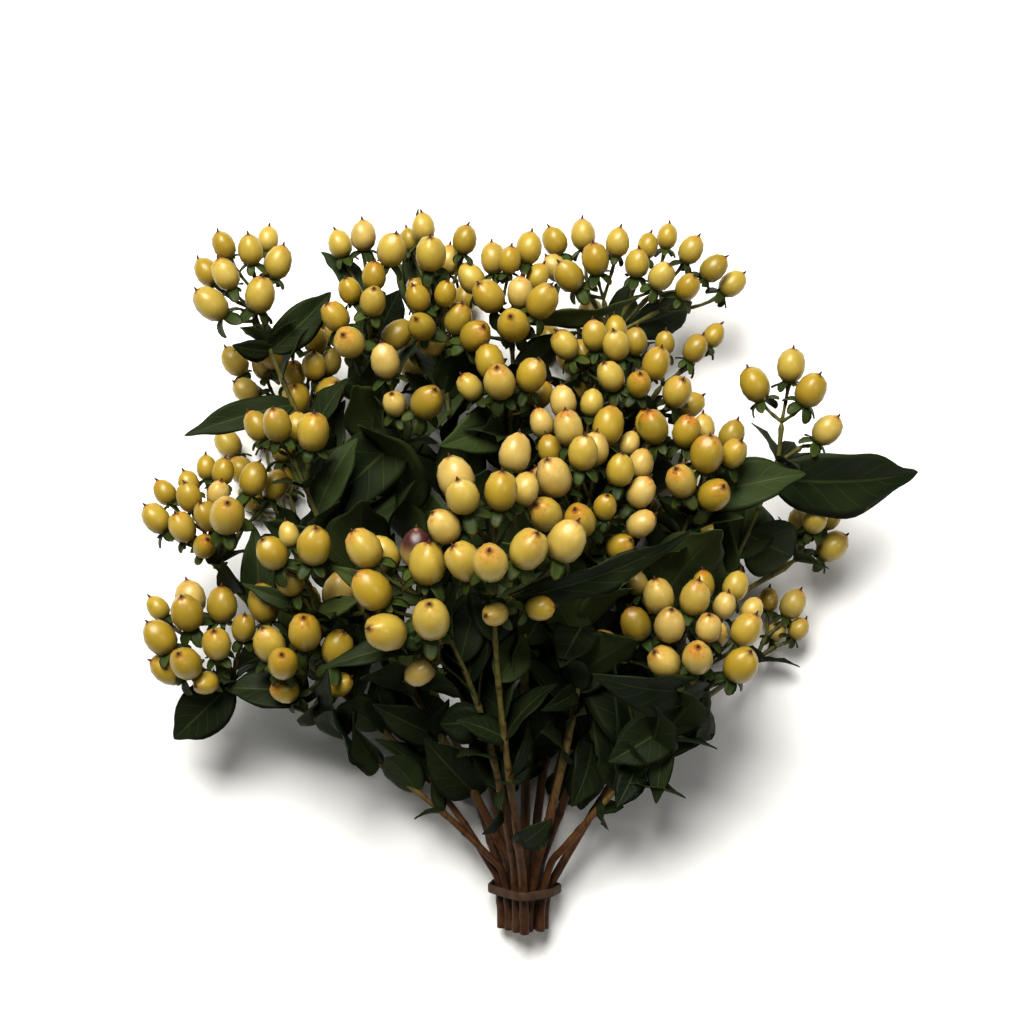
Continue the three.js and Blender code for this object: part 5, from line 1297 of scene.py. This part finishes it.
# %% Branches, twigs and stalks
BRANCH_SIDES, TWIG_SIDES = 9, 7
BRANCH_FORM = np.array([1.25, 1.05, 1.0, 1.0, 1.0, 1.3, 1.7, 0.5])
TWIG_FORM = np.array([1.25, 1.0, 0.95, 0.95, 1.05, 1.35, 0.5])
STALK_FORM = np.array([1.15, 0.95, 0.84, 0.84, 0.88, 1.0, 1.4, 2.0])
BRANCH_AGE, TWIG_AGE, STALK_AGE = 0.24, 0.14, 0.16
BRANCH_BOW, TWIG_BOW = 0.4, 0.3
STALK_PULL = 0.38
STALK_JOINT, STALK_SCAR = 1.35, 0.8


def straight_rods(ends, radii, sides, age, rng, bow):
    """Rods between pairs of points, bowed a little to one side by half a sine wave."""
    starts, ends = free[[start for start, end in ends]], free[[end for start, end in ends]]
    t = np.linspace(0, 1, len(radii))
    paths = starts[:, None] + (ends - starts)[:, None] * t[:, None]
    away = unit(rng.normal(size=(len(starts), 3)))
    paths = paths + away[:, None] * (np.sin(math.pi * t) * bow)[:, None]
    tone = rng.uniform(0, 1, len(starts))[:, None, None]
    return tubes(paths, radii[None], sides), {"age": age, "cut": 0.0, "scar": 0.0, "tone": tone}


def stalk_rods(knots, feet, axes, rng):
    """Berry stalks: from the knot to the berry's foot, on a quadratic curve that arrives along the berry's
    own axis, with a flare at the end and a small joint on the way."""
    rows = len(STALK_FORM)
    t = np.linspace(0, 1, rows)[:, None]
    far = np.linalg.norm(feet - knots, axis=1)[:, None]
    start, bend, end = knots[:, None], (feet - axes * far * STALK_PULL)[:, None], feet[:, None]
    paths = start * (1 - t) ** 2 + bend * 2 * t * (1 - t) + end * t**2
    at_joint = np.arange(rows) == rng.integers(2, 5, len(knots))[:, None]
    radii = PEDICEL_RADIUS * STALK_FORM
    rings = tubes(paths, np.where(at_joint, radii * STALK_JOINT, radii), TWIG_SIDES)
    age = np.linspace(STALK_AGE, 0.0, rows)[None, :, None]
    tone = rng.uniform(0, 1, len(knots))[:, None, None]
    return rings, {"age": age, "cut": 0.0, "scar": (at_joint * STALK_SCAR)[..., None], "tone": tone}


# %% [markdown]
# ## Leaves
# A leaf's blade is one closed skin: its section runs across the upper face and back across the lower one.
# The outline, arch and fold are those that found room for it above. On top of them come what makes it look
# grown: a groove at the midrib, a quilted face between the side veins, and edges that wave.

# %% The leaves' form
LEAF_THICKNESS = 0.42
LEAF_WAVE = 0.026
MIDDLE_LEAF = 22
LARGE_LEAF = 36
TIP_DRAWN, DRAWN_AT, DRAWN_WIDTH = 0.3, 0.87, 0.1
GROOVE, GROOVE_WIDTH = 0.02, 0.16
QUILT = 0.008
RIM = 0.25
SMALL_WIDTH, LIES_OPEN = 10, 0.8
SHADED = 0.35
CROWN_FOOT = [525, 640, 0]


def leaf_rings(leaf, rng):
    """Rings of one leaf. The middle surface is that of leaf_points, with a wave along each edge that grows
    with the square of the distance from the midrib, a groove along it and a fine quilting between the
    veins. The upper and lower faces are half a thickness off it, and meet at the rim. The last part is
    drawn in, which makes the tip long and fine. Shorter leaves have fewer rings. Small ones that lie open
    to the front get a lighter tone, painted light where the lamp falls on them, and those below the crown
    get a darker tone, painted shade from the crown above them."""
    length, width = np.linalg.norm(leaf["tip"] - leaf["base"]), leaf["width"]
    rows, columns = (27, 9) if length > LARGE_LEAF else (17, 9) if length > MIDDLE_LEAF else (9, 5)
    over = np.linspace(1, -1, columns)
    top = np.concatenate([np.ones(columns), -np.ones(columns - 2)])
    s = (1 - np.cos(np.linspace(0.0, 1, rows) * math.pi * 0.985)) / 2
    s, c = np.meshgrid(s, np.concatenate([over, over[::-1][1:-1]]), indexing="ij")
    drawn = 1 - TIP_DRAWN * bell(s - DRAWN_AT, DRAWN_WIDTH) * min(1, length / LARGE_LEAF)
    middle = leaf_points(leaf, s, c * drawn)
    phase, waves = rng.uniform(0, FULL_TURN, 2), rng.uniform(1.6, 2.6)
    wave = np.sin(FULL_TURN * waves * s + np.where(c > 0, phase[0], phase[1])) * c**2
    wave = wave * LEAF_WAVE * length * np.sin(math.pi * s)
    groove = -GROOVE * width * bell(c, GROOVE_WIDTH)
    vein = np.cos(FULL_TURN * (VEIN_PAIRS * s - VEIN_SWEEP * np.abs(c)))
    quilt = QUILT * width * vein * (1 - c**2) * np.minimum(1, np.abs(c) * 4)
    body = np.minimum(1, 3 * (1 - np.abs(c)) + RIM) * LEAF_THICKNESS / 2
    rise = wave + (groove + quilt) * np.sin(math.pi * s) + body * top
    points = middle + leaf["up"] * rise[..., None]
    # Painted light: small leaves that face the front get a lighter tone, as if lit by the lamp.
    light = float(leaf["up"] @ FRONT) > LIES_OPEN and width < SMALL_WIDTH
    tone = rng.uniform(0.55, 1.0) if light else rng.beta(1.5, 3.0)
    # Painted shade: leaves whose tip lies below the crown's foot have their tone darkened, standing in for
    # the crown's shade.
    if (leaf["tip"] - place(CROWN_FOOT)) @ ALONG < 0:
        tone *= SHADED
    under = (top < 0).astype(float)
    return points[None], {"down_leaf": s[None], "over_leaf": c[None], "under": under, "tone": tone}


# %% [markdown]
# ## Putting each stem together
# Each leafy stem becomes four pieces: its wood, its leaves, its berries and their sepals. Together they
# stand for the plain solid of that stem, which then isn't shown.

# %% The berries' tones
TONE_SPREAD, BLUSH_SPREAD = 0.26, 0.18
WINE_BERRY = [411, 550, 0]
WINE_TONE = 2
EYE = ORIGIN_SHIFT + FRONT * VIEW_DISTANCE


def beside_sight(spots):
    """How far points lie from the line of sight to the wine-red berry's place."""
    return np.linalg.norm(np.cross(spots - EYE, unit(place(WINE_BERRY) - EYE)), axis=-1)


all_spots = free[[f for stem in stems for knot, f, width in stem["berries"]]]
all_widths = np.array([width for stem in stems for knot, f, width in stem["berries"]])
wine_red = int(np.argmin(beside_sight(all_spots)))
print("the wine-red berry is number", wine_red, "of", len(all_spots))


def berry_tones(looks, first_berry, count, rng):
    """How far from greenish yellow to peach each berry is, and how blushed. They vary round the stem's
    usual values. One berry of the bunch has ripened wine red."""
    usual_tone, usual_blush = looks
    tone = np.clip(rng.normal(usual_tone, TONE_SPREAD, count), 0, 1)
    blush = np.clip(rng.normal(usual_blush, BLUSH_SPREAD, count), 0, 1)
    tone[np.arange(first_berry, first_berry + count) == wine_red] = WINE_TONE
    return tone, blush


# %% All fifteen stems
STEM_SEED = 100
BERRY_FOOT = 0.48
faces_made, berries_made = 0, 0
for s, stem in enumerate(stems):
    rng = np.random.default_rng(STEM_SEED + s)
    name = stem["name"]
    knots = free[[knot for knot, f, width in stem["berries"]]]
    mine = slice(berries_made, berries_made + len(knots))
    spots, widths = all_spots[mine], all_widths[mine]
    axes = berry_axes(spots, knots)
    tone, blush = berry_tones(STEMS[s]["looks"], berries_made, len(knots), rng)
    foot = spots - axes * (widths * BERRY_LENGTH_RATIO * BERRY_FOOT)[:, None]

    wood = [stem_rings(s, rng)]  # the order of these calls is the order of their random draws
    if stem["branches"]:
        radii = BRANCH_RADIUS * BRANCH_FORM
        wood.append(straight_rods(stem["branches"], radii, BRANCH_SIDES, BRANCH_AGE, rng, BRANCH_BOW))
    wood.append(straight_rods(stem["twigs"], TWIG_RADIUS * TWIG_FORM, TWIG_SIDES, TWIG_AGE, rng, TWIG_BOW))
    wood.append(stalk_rods(knots, foot, axes, rng))
    berries = [berry_rings(spots, axes, widths, tone, blush, rng)]
    sepals = [sepal_rings(foot, axes, widths, berries_made, rng)]
    blades = [leaf_rings(leaf, rng) for leaf in leaves if leaf["stem"] == s]
    berries_made += len(spots)

    for part, skins, looks in (("_wood", wood, BARK), ("_berries", berries, BERRY_SKIN),
                               ("_sepals", sepals, SEPAL_SKIN), ("_leaves", blades, LEAF_SKIN)):
        piece = build_piece(name + part, skins, looks)
        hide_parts(name)
        faces_made += len(piece.data.polygons)
print(berries_made, "berries, and", faces_made, "faces on the stems")

# %% [markdown]
# ## The rubber band
# The band is stretched round the outer stems, so its loop is flat between them and curved round each. Seen
# from the middle, each direction has one stem that reaches furthest, and the band touches that stem.

# %% The band's loop
BAND_STEPS = 88
BAND_CORNERS = 12
SQUARENESS = 0.5


def squared(wave):
    """A sine or cosine made squarer: the root of its size, with its sign."""
    return np.sign(wave) * np.abs(wave) ** SQUARENESS


def band_rings():
    """At each direction round the bundle: the furthest stem, then out by its radius and the clearance. The
    section is a flat bar with rounded edges, and the loop is a skin bent round on itself."""
    middle = place(CUT_END) + ALONG * BAND_HEIGHT
    held = []
    for stem in stems:
        chain = free[stem["chain"]] - middle
        level = chain @ ALONG
        for height in (-BAND_WIDTH / 2, BAND_WIDTH / 2):
            i = int(np.argmax(level > height))
            part = (height - level[i - 1]) / (level[i] - level[i - 1])
            spot = chain[i - 1] + (chain[i] - chain[i - 1]) * part
            held.append([spot @ ACROSS, spot @ FRONT])
    held = np.array(held)
    angle = np.arange(BAND_STEPS) * 2 * math.pi / BAND_STEPS
    look = np.column_stack([np.cos(angle), np.sin(angle)])
    touch = held[np.argmax(look @ held.T, axis=1)] + look * (FOOT_RADIUS + BAND_CLEARANCE)
    corner = np.radians((np.arange(BAND_CORNERS) + 0.5) * 360 / BAND_CORNERS)
    out = (0.5 + 0.5 * squared(np.cos(corner))) * BAND_THICKNESS
    up = squared(np.sin(corner)) * BAND_WIDTH / 2
    flat = touch[:, None] + look[:, None] * out[:, None]
    return middle + ACROSS * flat[..., :1] + FRONT * flat[..., 1:] + ALONG * up[:, None]


def build_band():
    """The band's skin has no ends, so its last ring is joined to its first."""
    rings = band_rings()
    steps, corners = rings.shape[:2]
    i, k = np.meshgrid(np.arange(steps), np.arange(corners), indexing="ij")
    j, m = (i + 1) % steps, (k + 1) % corners
    quads = np.stack([i * corners + k, i * corners + m, j * corners + m, j * corners + k], -1).reshape(-1, 4)
    mesh = bpy.data.meshes.new("rubber_band_loop")
    mesh.from_pydata((rings.reshape(-1, 3) * MILLIMETRE).tolist(), [], quads.tolist())
    piece = finish_piece("rubber_band_loop", mesh, BAND_RUBBER)
    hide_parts("rubber_band")
    return piece


band = build_band()
print("the band has", len(band.data.polygons), "faces")

# %% [markdown]
# ## Table, light and camera
# The bunch lies on a pale, plain table under soft studio light. One large lamp above and to the left gives
# the berries their broad highlight, and a weak one on the right keeps the shaded side readable. The gaps
# between the leaves stay nearly black only if little light comes from all round, so the world is dim. A
# gamma under 1 deepens the half shades once more, and the lamps are bright enough to keep the table white.

# %% The table top
TABLE_HALF = 3.0


def make_table():
    """A square sheet with its middle under the bunch."""
    mesh = bpy.data.meshes.new("table_top")
    corners = [(x * TABLE_HALF, y * TABLE_HALF, 0) for x, y in ((-1, -1), (1, -1), (1, 1), (-1, 1))]
    mesh.from_pydata(corners, [], [(0, 1, 2, 3)])
    material, tree, shader = new_material("table_white", Specular_IOR_Level=0.2)
    mask, grain = mottling(tree, 8.0, 500.0)
    link(shader, "Base Color", blend(mask, (243, 243, 242), (247, 247, 246)))
    link(shader, "Roughness", grain * 0.1 + 0.75)
    mesh.materials.append(material)
    table = add_object("table_top", mesh)


make_table()

# %% Lamps
LIT_SPOT, LIT_UP = (0, 0, 0.05), (0.13, 0.97, 0.2)
WORLD_STRENGTH = 0.11
VIEW_GAMMA = 0.85


def frame_matrix(position, towards, up):
    """Where an object stands that looks from a position towards a point, with a direction up."""
    back = unit(np.array(position, float) - np.array(towards, float))
    right = unit(np.cross(up, back))
    columns = [right, np.cross(back, right), back, position]
    return Matrix([*([column[k] for column in columns] for k in range(3)), [0, 0, 0, 1]])


def add_lamp(name, position, size, power, colour):
    """A square lamp that shines on the bunch's middle."""
    lamp = bpy.data.lights.new(name, "AREA")
    lamp.size = size
    lamp.energy = power
    lamp.color = colour
    add_object(name, lamp).matrix_world = frame_matrix(position, LIT_SPOT, LIT_UP)


add_lamp("key_lamp", position=(-0.2, 0.38, 1.0), size=0.55, power=20.0, colour=(1.0, 0.985, 0.95))
add_lamp("side_lamp", position=(0.55, -0.3, 0.9), size=0.25, power=1.8, colour=(1.0, 0.98, 0.95))
world = bpy.data.worlds.new("studio")
bpy.context.scene.world = world
world.use_nodes = True
background = world.node_tree.nodes["Background"].inputs
background["Color"].default_value = (1, 1, 1, 1)
background["Strength"].default_value = WORLD_STRENGTH
bpy.context.scene.view_settings.view_transform = "Standard"
bpy.context.scene.view_settings.gamma = VIEW_GAMMA
print("lamps:", ", ".join(light.name for light in bpy.data.lights))

# %% The camera
SENSOR = 36.0
lens = bpy.data.cameras.new("front_view")
lens.sensor_width = SENSOR
lens.lens = SENSOR * VIEW_DISTANCE / (IMAGE_SIZE * VIEW_UNIT)
lens.clip_start = 0.01
camera = add_object("front_view", lens)
camera.matrix_world = frame_matrix(EYE * MILLIMETRE, ORIGIN_SHIFT * MILLIMETRE, ALONG)
bpy.context.scene.camera = camera
print("lens:", round(lens.lens, 1), "mm")

# %% [markdown]
# ## The end
# The dressed bunch has to fill the same box as the imported model.

# %% Finish
bpy.context.view_layer.update()
